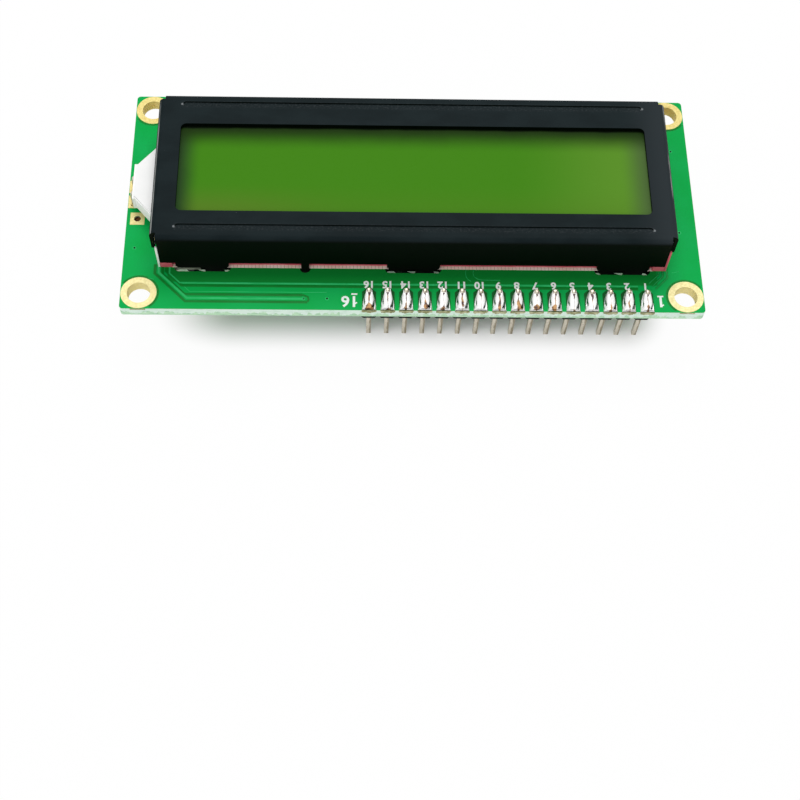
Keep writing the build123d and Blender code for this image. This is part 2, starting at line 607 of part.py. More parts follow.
def header_joint(x):
    """Solder that climbs one header pin from a long land."""
    length = PIN_ROW_Y + PIN_LAND_BEHIND_ROW - NEAR_EDGE - SOLDER_EDGE_MARGIN
    width = PIN_LAND_WIDTH - SOLDER_EDGE_MARGIN
    shift = NEAR_EDGE + SOLDER_EDGE_MARGIN + length / 2 - PIN_ROW_Y
    bottom = FRONT + COPPER
    heights = [0.0, SOLDER_HEIGHT * SOLDER_WAIST_SHARE, SOLDER_HEIGHT]
    across = [width / 2, SOLDER_WAIST_WIDTH / 2, SOLDER_TOP_WIDTH / 2]
    along = [length / 2, SOLDER_WAIST_LENGTH / 2, SOLDER_TOP_WIDTH / 2]
    joint = Pos(x, PIN_ROW_Y, bottom) * heap(across, along, heights, shift)
    return joint - prism(lead_gap(PIN_SIDE, x, PIN_ROW_Y), bottom - 1, bottom + SOLDER_HEIGHT + 1)


def solder_heap(length, width, height, x, y):
    """Low heap of solder on a rear land."""
    heights = [0.0, height * HEAP_SHOULDER_HEIGHT, height]
    shares = [1.0, HEAP_SHOULDER_SHARE, HEAP_TOP_SHARE]
    along = [width / 2 * share for share in shares]
    across = [length / 2 * share for share in shares]
    return Pos(x, y, BACK - COPPER) * Rot(180, 0, 0) * heap(across, along, heights)


def terminal_joint(y):
    """Rear solder heap around one lamp lead, a little in from the board's edge."""
    left = LEFT_EDGE + 2 * COPPER
    right = TERMINAL_X - TERMINAL_TO_SIDE + TERMINAL_LAND_LENGTH
    width = TERMINAL_LAND_WIDTH - 2 * COPPER
    joint = solder_heap(right - left, width, TERMINAL_SOLDER_HEIGHT, (left + right) / 2, y)
    lowest = BACK - 2 * TERMINAL_SOLDER_HEIGHT
    return joint - prism(lead_gap(TERMINAL_SIDE, TERMINAL_X, y), lowest, BACK)


def chip_joints(x, y, length, width, height):
    """Solder wedges at both ends of a chip resistor."""
    start = length / 2 + CHIP_CAP_THICKNESS
    wedge = Polygon(
        (start, 0), (start + CHIP_LAND - 2 * CHIP_CAP_THICKNESS, 0), (start, -height * 0.8), align=None
    )
    solid = extrude(Plane.XZ * wedge, amount=(width - 2 * CHIP_CAP_THICKNESS) / 2, both=True)
    bottom = BACK - COPPER
    return [Pos(x, y, bottom) * solid, Pos(x, y, bottom) * Rot(0, 0, 180) * solid]


def jumper_bridge():
    """Heap that closes the first jumper."""
    across = JUMPER_DIAMETER - 2 * COPPER
    return solder_heap(across, across, JUMPER_SOLDER_HEIGHT, jumper_place(0), JUMPER_Y)


# Rear face


def resin_dome(diameter, height, place):
    """Drop of hard resin on the rear face: a steep foot under a low crown in a few conical bands."""
    radius = diameter / 2
    rim = radius - DOME_FOOT_WIDTH
    crown = ThreePointArc((-rim, -DOME_FOOT_HEIGHT), (0, -height), (rim, -DOME_FOOT_HEIGHT))
    bands = [crown @ (0.5 + n / DOME_BANDS / 2) for n in range(DOME_BANDS + 1)]
    outline = Polyline((0, 0), *bands, (radius, 0), close=True)
    return Pos(*place, BACK) * revolve(Plane.XZ * make_face(outline), Axis.Z)


def chip_resistor(x, y, length, width, height):
    """Ceramic chip with a slightly thicker metal cap over each end."""
    seat = BACK - COPPER
    body = block(length, width, seat - height, seat)
    cap_length = CHIP_CAP + CHIP_CAP_THICKNESS
    cap_width = width + 2 * CHIP_CAP_THICKNESS
    for side in SIDES:
        cap_x = side * (length / 2 + CHIP_CAP_THICKNESS - cap_length / 2)
        body += block(cap_length, cap_width, seat - height - CHIP_CAP_THICKNESS, seat, cap_x)
    return Pos(x, y, 0) * body


# Pin header


def header_pin(x):
    """Square pin with four-sided points at both ends."""
    pin = block(PIN_SIDE, PIN_SIDE, PIN_TIP, FRONT + PIN_ABOVE_BOARD, x, PIN_ROW_Y)
    ends = pin.faces().sort_by(Axis.Z)
    return chamfer(ends[0].edges() + ends[-1].edges(), PIN_TIP_CHAMFER)


def header_insulator():
    """Black strip of one eight-sided cell to each pin, with a square hole through each."""
    cell = chamfer(Rectangle(PIN_PITCH, INSULATOR_WIDTH).vertices(), INSULATOR_NOTCH)
    hole = Rectangle(PIN_SIDE + 2 * PIN_FIT, PIN_SIDE + 2 * PIN_FIT)
    outline = Sketch()
    for x in PIN_XS:
        outline += Pos(x, PIN_ROW_Y) * cell
    for x in PIN_XS:
        outline -= Pos(x, PIN_ROW_Y) * hole
    return prism(outline, INSULATOR_BOTTOM, BACK)


def main():
    """Build every piece and write one file for each node."""
    save(circuit_board(), "circuit_board")
    save([mounting_plating(x, y) for x, y in MOUNTING_PLACES], "mounting_hole_platings")
    save([land for x in TAB_XS for land in on_walls(tab_land(), x)], "tab_lands")
    save([pin_land(x) for x in PIN_XS], "header_lands")
    save(side_pads(), "side_pads")
    footprints = regulator_lands() + jumper_lands()
    large_cap = (LARGE_CAP_SPAN, LARGE_CAP_PAD_LENGTH, LARGE_CAP_PAD_WIDTH)
    for y in LARGE_CAP_YS:
        footprints += pad_pair(LEFT_EDGE + LARGE_CAP_TO_SIDE, y, *large_cap)
    small_cap = (SMALL_CAP_SPAN, SMALL_CAP_PAD_LENGTH, SMALL_CAP_PAD_WIDTH)
    footprints += pad_pair(LONE_CHIP_PLACE[0], LONE_CHIP_PLACE[1] + SMALL_CAP_TO_CHIP, *small_cap)
    for x, y in CHIP_PLACES:
        footprints += chip_lands(x, y, SMALL_CHIP_LENGTH, SMALL_CHIP_WIDTH)
    footprints += chip_lands(*LARGE_CHIP_PLACE, LARGE_CHIP_LENGTH, LARGE_CHIP_WIDTH)
    save(footprints, "component_lands")

    save(bezel(), "bezel")

    save(polarizer(FRONT_POLARIZER_TOP), "front_polarizer")
    save(front_glass(), "front_glass")
    save(rear_glass(), "rear_glass")
    save(polarizer(REAR_POLARIZER_TOP), "rear_polarizer")
    save(elastomer_strip(-1), "elastomer_strip_header_side")
    save(elastomer_strip(1), "elastomer_strip_far_side")

    save(backlight_frame(), "backlight_frame")
    save(guide_film(REFLECTOR_TOP - REFLECTOR_THICKNESS, REFLECTOR_TOP), "reflector_film")
    save(light_guide(), "light_guide")
    save(guide_film(GUIDE_TOP, DIFFUSER_TOP), "diffuser_film")
    save(lamp_space(LAMP_X, LAMP_X + LAMP_LENGTH, LAMP_WIDTH, LAMP_HEIGHT), "backlight_lamp")
    for number, y in enumerate(TERMINAL_YS, start=1):
        save(lamp_terminal(y), f"lamp_terminal_{number}")

    save(resin_dome(CONTROLLER_DIAMETER, CONTROLLER_HEIGHT, CONTROLLER_PLACE), "controller_chip_dome")
    save(resin_dome(DRIVER_DIAMETER, DRIVER_HEIGHT, DRIVER_PLACE), "driver_chip_dome")
    small = (SMALL_CHIP_LENGTH, SMALL_CHIP_WIDTH, SMALL_CHIP_HEIGHT)
    large = (LARGE_CHIP_LENGTH, LARGE_CHIP_WIDTH, LARGE_CHIP_HEIGHT)
    joints = []
    for number, (x, y) in enumerate(CHIP_PLACES, start=1):
        save(chip_resistor(x, y, *small), f"chip_resistor_{number}")
        joints += chip_joints(x, y, *small)
    save(chip_resistor(*LARGE_CHIP_PLACE, *large), f"chip_resistor_{len(CHIP_PLACES) + 1}")
    joints += chip_joints(*LARGE_CHIP_PLACE, *large)
    save(joints, "chip_solder_joints")
    save(jumper_bridge(), "jumper_solder_bridge")
    save([terminal_joint(y) for y in TERMINAL_YS], "terminal_solder_joints")

    save(header_insulator(), "header_insulator")
    for number, x in enumerate(PIN_XS, start=1):
        save(header_pin(x), f"header_pin_{number:02d}")
    save([header_joint(x) for x in PIN_XS], "header_solder_joints")


main()
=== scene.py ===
"""Looks of a two-line character display module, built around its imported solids.

The board carries a folded bezel with the display cell, a header of sixteen pins
soldered along its near edge, and two chips under resin on its rear face.
Sizes are in millimetres until a mesh becomes a piece of the module.
"""

from __future__ import annotations

import logging
import math
from dataclasses import dataclass, field
from enum import Enum
from functools import reduce
from typing import Any, Iterable, Optional, Sequence

import bmesh
import bpy
from mathutils import Matrix, Vector

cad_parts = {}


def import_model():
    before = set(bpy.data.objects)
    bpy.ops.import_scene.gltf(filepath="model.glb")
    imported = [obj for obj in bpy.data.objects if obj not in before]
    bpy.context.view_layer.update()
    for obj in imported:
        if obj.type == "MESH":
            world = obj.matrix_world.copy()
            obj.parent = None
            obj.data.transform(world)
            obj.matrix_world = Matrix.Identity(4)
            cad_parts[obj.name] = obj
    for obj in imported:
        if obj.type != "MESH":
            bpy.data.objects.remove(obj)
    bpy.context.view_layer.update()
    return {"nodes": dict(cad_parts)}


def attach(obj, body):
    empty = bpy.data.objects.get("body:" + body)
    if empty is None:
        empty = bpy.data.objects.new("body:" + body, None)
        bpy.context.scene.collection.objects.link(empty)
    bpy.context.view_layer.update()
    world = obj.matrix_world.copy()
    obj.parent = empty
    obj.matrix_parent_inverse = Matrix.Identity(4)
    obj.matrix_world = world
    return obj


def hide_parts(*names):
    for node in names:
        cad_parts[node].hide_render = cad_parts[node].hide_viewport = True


LOG = logging.getLogger("character_display")
MILLIMETRE = 0.001
SEEN_RAYS = ("Is Camera Ray", "Is Glossy Ray", "Is Transmission Ray")
ENDS = (-1, 1)

Colour = tuple[float, float, float]
Point = tuple[float, float]
Size = tuple[float, float, float]
Path = list[Vector]


def tint(red: int, green: int, blue: int) -> Colour:
    """Turns a colour as it is seen, 0 to 255, into linear values.

    Args:
        red, green, blue: the seen colour.

    Returns:
        The linear colour.
    """
    return tuple((value / 255.0) ** 2.2 for value in (red, green, blue))


class Nodes:
    """Node tree with short ways to lay the nodes that a finish needs."""

    def __init__(self, tree: bpy.types.NodeTree) -> None:
        """Takes over a tree.

        Args:
            tree: where the nodes are added.
        """
        self.tree = tree

    def node(self, kind: str, *values: Any, **settings: Any) -> bpy.types.Node:
        """Adds a node.

        Args:
            kind: the node's type.
            values: what its inputs take, in order; a socket is linked and None is skipped.
            settings: the node's own properties.

        Returns:
            The new node.
        """
        made = self.tree.nodes.new(kind)
        for key, value in settings.items():
            setattr(made, key, value)
        for socket, value in zip(made.inputs, values):
            self.feed(socket, value)
        return made

    def feed(self, socket: bpy.types.NodeSocket, value: Any) -> None:
        """Links a socket, or sets the value on an input.

        Args:
            socket: the input.
            value: a socket, a number, a colour or None.
        """
        if isinstance(value, bpy.types.NodeSocket):
            self.tree.links.new(value, socket)
        elif value is not None:
            opaque = socket.type == "RGBA" and isinstance(value, tuple) and len(value) == 3
            socket.default_value = (*value, 1.0) if opaque else value

    def math(self, kind: str, *values: Any) -> bpy.types.NodeSocket:
        """Adds one arithmetic node of the named kind and gives its result."""
        return self.node("ShaderNodeMath", *values, operation=kind).outputs[0]

    def chain(self, kind: str, parts: Sequence[Any]) -> Any:
        """Joins values one after the other by the same kind of arithmetic."""
        return reduce(lambda first, second: self.math(kind, first, second), parts)

    def plus(self, *parts: Any) -> Any:
        """Adds values up."""
        return self.chain("ADD", parts)

    def times(self, *parts: Any) -> Any:
        """Multiplies values."""
        return self.chain("MULTIPLY", parts)

    def largest(self, *parts: Any) -> Any:
        """Gives the largest of some values."""
        return self.chain("MAXIMUM", parts)

    def absolute(self, value: Any) -> Any:
        """Gives a value without its sign."""
        return self.math("ABSOLUTE", value)

    def apart(self, first: Any, second: Any) -> Any:
        """Gives how far apart two values are."""
        return self.absolute(self.math("SUBTRACT", first, second))

    def diagonal(self, first: Any, second: Any) -> Any:
        """Gives the length that two sides at a right angle span."""
        return self.math("SQRT", self.plus(self.times(first, first), self.times(second, second)))

    def span(self, value: Any, low: Any, high: Any, start: float = 0.0, end: float = 1.0) -> Any:
        """Maps a value smoothly from one range to another.

        Args:
            value: the socket that is mapped.
            low, high: the range it comes from.
            start, end: what the range's two ends become.

        Returns:
            The mapped value.
        """
        made = self.node("ShaderNodeMapRange", interpolation_type="SMOOTHSTEP")
        names = ("Value", "From Min", "From Max", "To Min", "To Max")
        for name, part in zip(names, (value, low, high, start, end)):
            self.feed(made.inputs[name], part)
        return made.outputs["Result"]

    def step(self, value: Any, level: float, fade: float) -> Any:
        """Rises from 0 to 1 where a value passes a level, over a fade at each side of it."""
        return self.span(value, level - fade, level + fade)

    def blend(self, share: Any, first: Any, second: Any) -> Any:
        """Mixes two colours.

        Args:
            share: how much of the second colour shows.
            first, second: sockets or colours.

        Returns:
            The mixed colour.
        """
        made = self.node("ShaderNodeMix", data_type="RGBA")
        inputs = [socket for socket in made.inputs if socket.type == "RGBA"]
        self.feed(made.inputs[0], share)
        self.feed(inputs[0], first)
        self.feed(inputs[1], second)
        return next(socket for socket in made.outputs if socket.type == "RGBA")

    def seen(self) -> Any:
        """Tells camera, mirror and glass rays from the rays that light things."""
        rays = self.node("ShaderNodeLightPath").outputs
        return self.largest(*[rays[name] for name in SEEN_RAYS])


class Sheet(Nodes):
    """Node tree of one material, around its Principled shader."""

    def __init__(self, name: str) -> None:
        """Starts a material.

        Args:
            name: the material's name.
        """
        self.material = bpy.data.materials.new(name)
        self.material.use_nodes = True
        super().__init__(self.material.node_tree)
        self.shader = self.tree.nodes["Principled BSDF"]
        self.place = self.node("ShaderNodeTexCoord").outputs["Object"]

    def millimetres(self) -> list[bpy.types.NodeSocket]:
        """Gives the three coordinates in millimetres."""
        axes = self.node("ShaderNodeSeparateXYZ", self.place).outputs[:3]
        return [self.math("DIVIDE", axis, MILLIMETRE) for axis in axes]

    def facing(self) -> Sequence[bpy.types.NodeSocket]:
        """Gives the three parts of the surface's direction."""
        geometry = self.node("ShaderNodeNewGeometry")
        return self.node("ShaderNodeSeparateXYZ", geometry.outputs["Normal"]).outputs

    def noise(
        self, period: float, detail: float = 2.0, stretch: Sequence[float] = (1, 1, 1)
    ) -> Any:
        """Adds cloudy noise.

        Args:
            period: the size of its clouds in millimetres.
            detail: how many finer layers it has.
            stretch: how much finer the pattern is along each axis.

        Returns:
            The noise, from 0 to 1.
        """
        scaled = self.node("ShaderNodeVectorMath", self.place, tuple(stretch), operation="MULTIPLY")
        made = self.node("ShaderNodeTexNoise")
        self.feed(made.inputs["Vector"], scaled.outputs[0])
        made.inputs["Scale"].default_value = 1.0 / (period * MILLIMETRE)
        made.inputs["Detail"].default_value = detail
        return made.outputs["Fac"]

    def relief(self, height: Any, depth: float, strength: float = 1.0, under: Any = None) -> Any:
        """Adds fine relief.

        Args:
            height: the socket that raises the surface.
            depth: its full height in millimetres.
            strength: how much of it shows.
            under: the relief that this one lies on.

        Returns:
            The bent normal.
        """
        made = self.node("ShaderNodeBump")
        made.inputs["Strength"].default_value = strength
        made.inputs["Distance"].default_value = depth * MILLIMETRE
        self.feed(made.inputs["Height"], height)
        self.feed(made.inputs["Normal"], under)
        return made.outputs["Normal"]

    def done(self, **sockets: Any) -> bpy.types.Material:
        """Feeds the shader.

        Args:
            sockets: what its inputs take, each named with _ for a space.

        Returns:
            The finished material.
        """
        for name, value in sockets.items():
            self.feed(self.shader.inputs[name.replace("_", " ")], value)
        return self.material


@dataclass(frozen=True)
class Lacquer:
    """Green lacquer on the board, with bare glass-epoxy where the board is cut, and painted shade
    near the bezel and in the slots.
    """

    name: str
    film: Colour = tint(20, 169, 84)
    deep: Colour = tint(4, 165, 73)
    # Lacquer with no copper under it, darkened further by painted shade that stands for the bezel's
    # shadow.
    bare: Colour = tint(22, 134, 54)
    lip: Colour = tint(234, 255, 242)
    laminate: Colour = tint(206, 242, 206)
    fibre: Colour = tint(158, 206, 172)
    # Painted shade for the slot walls, deep on most and lighter at the left-most slot.
    slot_wall: Colour = tint(16, 24, 17)
    pale_wall: Colour = tint(140, 150, 132)
    weave: float = 0.62
    film_roughness: float = 0.4
    cut_roughness: float = 0.8
    specular: float = 0.04
    bare_near: float = -13.7
    bare_side: float = 33.7
    lip_level: float = -1.05
    torn_reach: float = 0.55
    inner: Point = (39.3, 17.4)
    pale_until: float = -29.4

    def face(self, sheet: Sheet, upward: Any) -> Any:
        """Colours the lacquer, darker where no copper lies under it; that darker colour also holds
        painted shade for the bezel's shadow.

        Args:
            sheet: the material's node sheet.
            upward: how much the surface faces up.

        Returns:
            The colour of the flat faces.
        """
        along, across, _ = sheet.millimetres()
        # Between the near tracks and the bezel: no copper under the lacquer, plus painted shadow of
        # the bezel.
        inside = sheet.times(
            sheet.step(across, self.bare_near, 0.06),
            sheet.span(sheet.absolute(along), self.bare_side, self.bare_side + 0.1, 1.0, 0.0),
            sheet.math("GREATER_THAN", upward, 0.5),
        )
        clouds = sheet.span(sheet.noise(9.0, 3.0), 0.35, 0.7)
        return sheet.blend(inside, sheet.blend(clouds, self.deep, self.film), self.bare)

    def cut(self, sheet: Sheet, fibres: Any) -> Any:
        """Colours the cut edges: pale laminate below a torn lip, and the slot walls in painted
        shade, less dark at the left-most slot.

        Args:
            sheet: the material's node sheet.
            fibres: the pattern of the glass fibres.

        Returns:
            The colour of the cut edges.
        """
        along, across, height = sheet.millimetres()
        ragged = sheet.noise(0.7, 5.0, (1, 1, 0.2))
        ragged = sheet.span(ragged, 0.25, 0.75, -self.torn_reach, self.torn_reach)
        torn = sheet.step(sheet.plus(height, ragged), self.lip_level, 0.2)
        low = sheet.blend(sheet.span(fibres, 0.45, 0.68), self.laminate, self.fibre)
        high = sheet.blend(sheet.span(fibres, 0.5, 0.8), self.lip, self.fibre)
        inner = sheet.times(*[
            sheet.math("LESS_THAN", sheet.absolute(axis), limit)
            for axis, limit in zip((along, across), self.inner)
        ])
        # Painted shade on the slot walls, lighter at the left-most slot.
        wall = sheet.math("LESS_THAN", along, self.pale_until)
        wall = sheet.blend(wall, self.slot_wall, self.pale_wall)
        return sheet.blend(inner, sheet.blend(torn, low, high), wall)

    def build(self) -> bpy.types.Material:
        """Lays clouds and a faint weave in the lacquer, and bare laminate on the cut edges.

        Returns:
            The material.
        """
        sheet = Sheet(self.name)
        upward = sheet.facing()[2]
        flat = sheet.math("GREATER_THAN", sheet.absolute(upward), 0.5)
        fibres = sheet.noise(0.45, 4.0, (0.3, 0.3, 3.0))
        turn = 2.0 * math.pi / self.weave
        threads = [sheet.math("SINE", sheet.times(axis, turn)) for axis in sheet.millimetres()[:2]]
        under = sheet.relief(sheet.times(*threads), 0.01, 0.25)
        return sheet.done(
            Base_Color=sheet.blend(flat, self.cut(sheet, fibres), self.face(sheet, upward)),
            Roughness=sheet.span(flat, 0.0, 1.0, self.cut_roughness, self.film_roughness),
            Normal=sheet.relief(fibres, 0.05, 0.5, under),
            Specular_IOR_Level=self.specular,
        )


@dataclass(frozen=True)
class Moulding:
    """Plain moulded, cast, printed or lacquered stuff, with fine grain and slow unevenness."""

    name: str
    colour: Colour
    other: Colour
    roughness: float = 0.45
    grain: float = 0.25
    depth: float = 0.008
    clouds: float = 4.0
    specular: float = 0.08

    def build(self) -> bpy.types.Material:
        """Mixes two near shades, and grain in the relief and the gloss.

        Returns:
            The material.
        """
        sheet = Sheet(self.name)
        fine = sheet.noise(self.grain, 3.0)
        share = sheet.span(sheet.noise(self.clouds, 3.0), 0.35, 0.65)
        return sheet.done(
            Base_Color=sheet.blend(share, self.colour, self.other),
            Roughness=sheet.span(fine, 0.3, 0.7, self.roughness * 0.85, self.roughness * 1.15),
            Normal=sheet.relief(fine, self.depth),
            Specular_IOR_Level=self.specular,
        )


@dataclass(frozen=True)
class BezelPaint:
    """Black stoving paint on folded steel, with a fine skin and a few pale specks, painted shade on
    its upright faces and painted highlights at its right end, rib ends and outer bends.
    """

    name: str = "bezel_paint"
    colour: Colour = tint(32, 40, 42)
    other: Colour = tint(25, 33, 35)
    # Painted reflection: the paint turns lighter towards the right end.
    worn: Colour = tint(47, 53, 56)
    # Painted shade for the upright faces, which turn away from the light.
    wall: Colour = tint(9, 17, 11)
    # Colour of the dusty specks, the grain along the ribs and the painted highlights at the rib
    # ends.
    dust: Colour = tint(150, 155, 158)
    # Painted highlight on the outer bends near the ends.
    rubbed: Colour = tint(205, 208, 205)
    roughness: float = 0.55
    specular: float = 0.04
    worn_from: float = 29.0
    worn_fade: float = 6.0
    speck_room: float = 2.6
    speck_size: Point = (0.012, 0.034)
    rib_lines: Sequence[float] = (-9.5, 10.95)
    rib_half: float = 0.75
    rib_end: float = 32.3
    # Size of the painted highlight at each rib end.
    glint_size: Point = (0.1, 0.24)
    rubbed_from: float = 35.0
    bend_level: float = 6.84

    def specks(self, sheet: Sheet) -> Any:
        """Scatters a few round dusty specks.

        Args:
            sheet: the material's node sheet.

        Returns:
            1 on a speck and 0 beside it.
        """
        cells = sheet.node("ShaderNodeTexVoronoi", sheet.place)
        cells.inputs["Scale"].default_value = 1.0 / (self.speck_room * MILLIMETRE)
        chance = sheet.node("ShaderNodeSeparateXYZ", cells.outputs["Color"]).outputs
        size = sheet.span(chance[1], 0.0, 1.0, *self.speck_size)
        speck = sheet.math("LESS_THAN", cells.outputs["Distance"], size)
        return sheet.times(speck, sheet.math("GREATER_THAN", chance[0], 0.66))

    def ribs(self, sheet: Sheet, along: Any, across: Any) -> tuple[Any, Any]:
        """Finds the paler grain along the pressed ribs, and the painted highlights at their ends.

        Args:
            sheet: the material's node sheet.
            along: the distance from the module's middle.
            across: the place across the module.

        Returns:
            The strength of the grain and of the painted highlights.
        """
        fine = sheet.span(sheet.noise(0.2, 3.0, (0.7, 1, 1)), 0.46, 0.72, 0.004, 0.07)
        gaps = [sheet.apart(across, line) for line in self.rib_lines]
        reach = sheet.apart(along, self.rib_end)
        near = sheet.largest(*[
            sheet.span(gap, self.rib_half * 0.4, self.rib_half, 1.0, 0.0) for gap in gaps])
        # Painted highlight: a bright spot at each rib end.
        glint = sheet.largest(*[
            sheet.span(sheet.diagonal(gap, reach), *self.glint_size, 0.55, 0.0) for gap in gaps])
        return sheet.times(near, fine, sheet.math("LESS_THAN", along, self.rib_end)), glint

    def build(self) -> bpy.types.Material:
        """Lays the paint, dusty specks, paler grain along the ribs, painted shade on upright faces
        and painted highlights at the rib ends and on the outer bends.

        Returns:
            The material.
        """
        sheet = Sheet(self.name)
        along, across, height = sheet.millimetres()
        # Painted reflection, growing towards the right end.
        worn = sheet.span(along, self.worn_from, self.worn_from + self.worn_fade, 0.0, 0.85)
        along = sheet.absolute(along)
        normal = sheet.facing()
        clouds = sheet.noise(6.0, 4.0, (1, 2, 1))
        paint = sheet.blend(sheet.span(clouds, 0.35, 0.65), self.other, self.colour)
        paint = sheet.blend(worn, paint, self.worn)
        # Painted shade: faces turning from upward to sideways darken.
        paint = sheet.blend(sheet.span(normal[2], 0.1, 0.7), self.wall, paint)
        rib_grain, glint = self.ribs(sheet, along, across)
        # Paler grain along the ribs on upward faces.
        paint = sheet.blend(sheet.times(rib_grain, normal[2]), paint, self.dust)
        # Dusty specks, and painted highlights at the rib ends.
        paint = sheet.blend(sheet.largest(self.specks(sheet), glint), paint, self.dust)
        # Painted highlight: a broken pale line on the outer bends near both ends.
        bend_glint = sheet.times(
            sheet.span(sheet.absolute(normal[0]), 0.55, 0.65),
            sheet.span(height, self.bend_level, self.bend_level + 0.08),
            sheet.math("GREATER_THAN", along, self.rubbed_from),
            sheet.span(sheet.noise(5.0, 4.0, (1, 0.5, 1)), 0.42, 0.62, 0.0, 0.45),
        )
        return sheet.done(
            Base_Color=sheet.blend(bend_glint, paint, self.rubbed),
            Roughness=sheet.span(clouds, 0.3, 0.7, self.roughness - 0.05, self.roughness + 0.07),
            Normal=sheet.relief(sheet.noise(0.16), 0.006, 0.8),
            Specular_IOR_Level=self.specular,
        )


@dataclass(frozen=True)
class DisplayFilm:
    """Polarizing film over the lit cell: yellow-green, with painted shadow of the bezel along the
    window's far side and painted shade at its left border.
    """

    name: str = "display_film"
    middle: Colour = tint(66, 126, 27)
    warm: Colour = tint(84, 121, 38)
    light: Colour = tint(88, 137, 43)
    # Darker left border of the cell, with painted shade of the window's left edge over it.
    left_border: Colour = tint(44, 70, 36)
    right_border: Colour = tint(76, 102, 56)
    # Painted shadow of the window's far edge on the sunken film.
    far: Colour = tint(34, 54, 21)
    shade: Colour = tint(10, 18, 8)
    half_length: float = 32.3
    right_fade: float = 4.0
    left_fade: float = 3.2
    far_side: float = 7.2
    far_fade: float = 3.8
    light_run: Point = (13.0, 30.5)
    warm_run: Point = (-28.0, -6.0)
    warm_rows: Point = (-6.9, -1.5)

    def build(self) -> bpy.types.Material:
        """Fades the colour by the distance to each side of the window.

        Returns:
            The material.
        """
        sheet = Sheet(self.name)
        along, across, _ = sheet.millimetres()
        wander = sheet.span(sheet.noise(4.0), 0.2, 0.8, -0.1, 0.1)
        side, depth = sheet.plus(along, wander), sheet.plus(across, wander)
        yellow = sheet.times(sheet.span(across, *self.warm_rows, 1.0, 0.0),
                             sheet.span(along, *self.warm_run, 1.0, 0.3))
        right = sheet.span(side, self.half_length - self.right_fade, self.half_length)
        left = sheet.span(side, -self.half_length, self.left_fade - self.half_length, 1.0, 0.0)
        colour = sheet.blend(sheet.span(along, *self.light_run), self.middle, self.light)
        colour = sheet.blend(yellow, colour, self.warm)
        colour = sheet.blend(right, colour, self.right_border)
        # Left border: the cell's darker border plus painted shade.
        colour = sheet.blend(left, colour, self.left_border)
        # Painted shadow, deepening towards the window's far edge.
        far = sheet.span(depth, self.far_side - self.far_fade, self.far_side)
        colour = sheet.blend(far, colour, self.far)
        # Painted shadow: a thin dark band right under the window's far edge.
        colour = sheet.blend(sheet.step(depth, self.far_side, 0.2), colour, self.shade)
        skin = sheet.noise(0.5, 2.0)
        return sheet.done(
            Base_Color=colour,
            Roughness=sheet.span(skin, 0.3, 0.7, 0.5, 0.55),
            Normal=sheet.relief(skin, 0.002, 0.4),
            Specular_IOR_Level=0.03,
        )


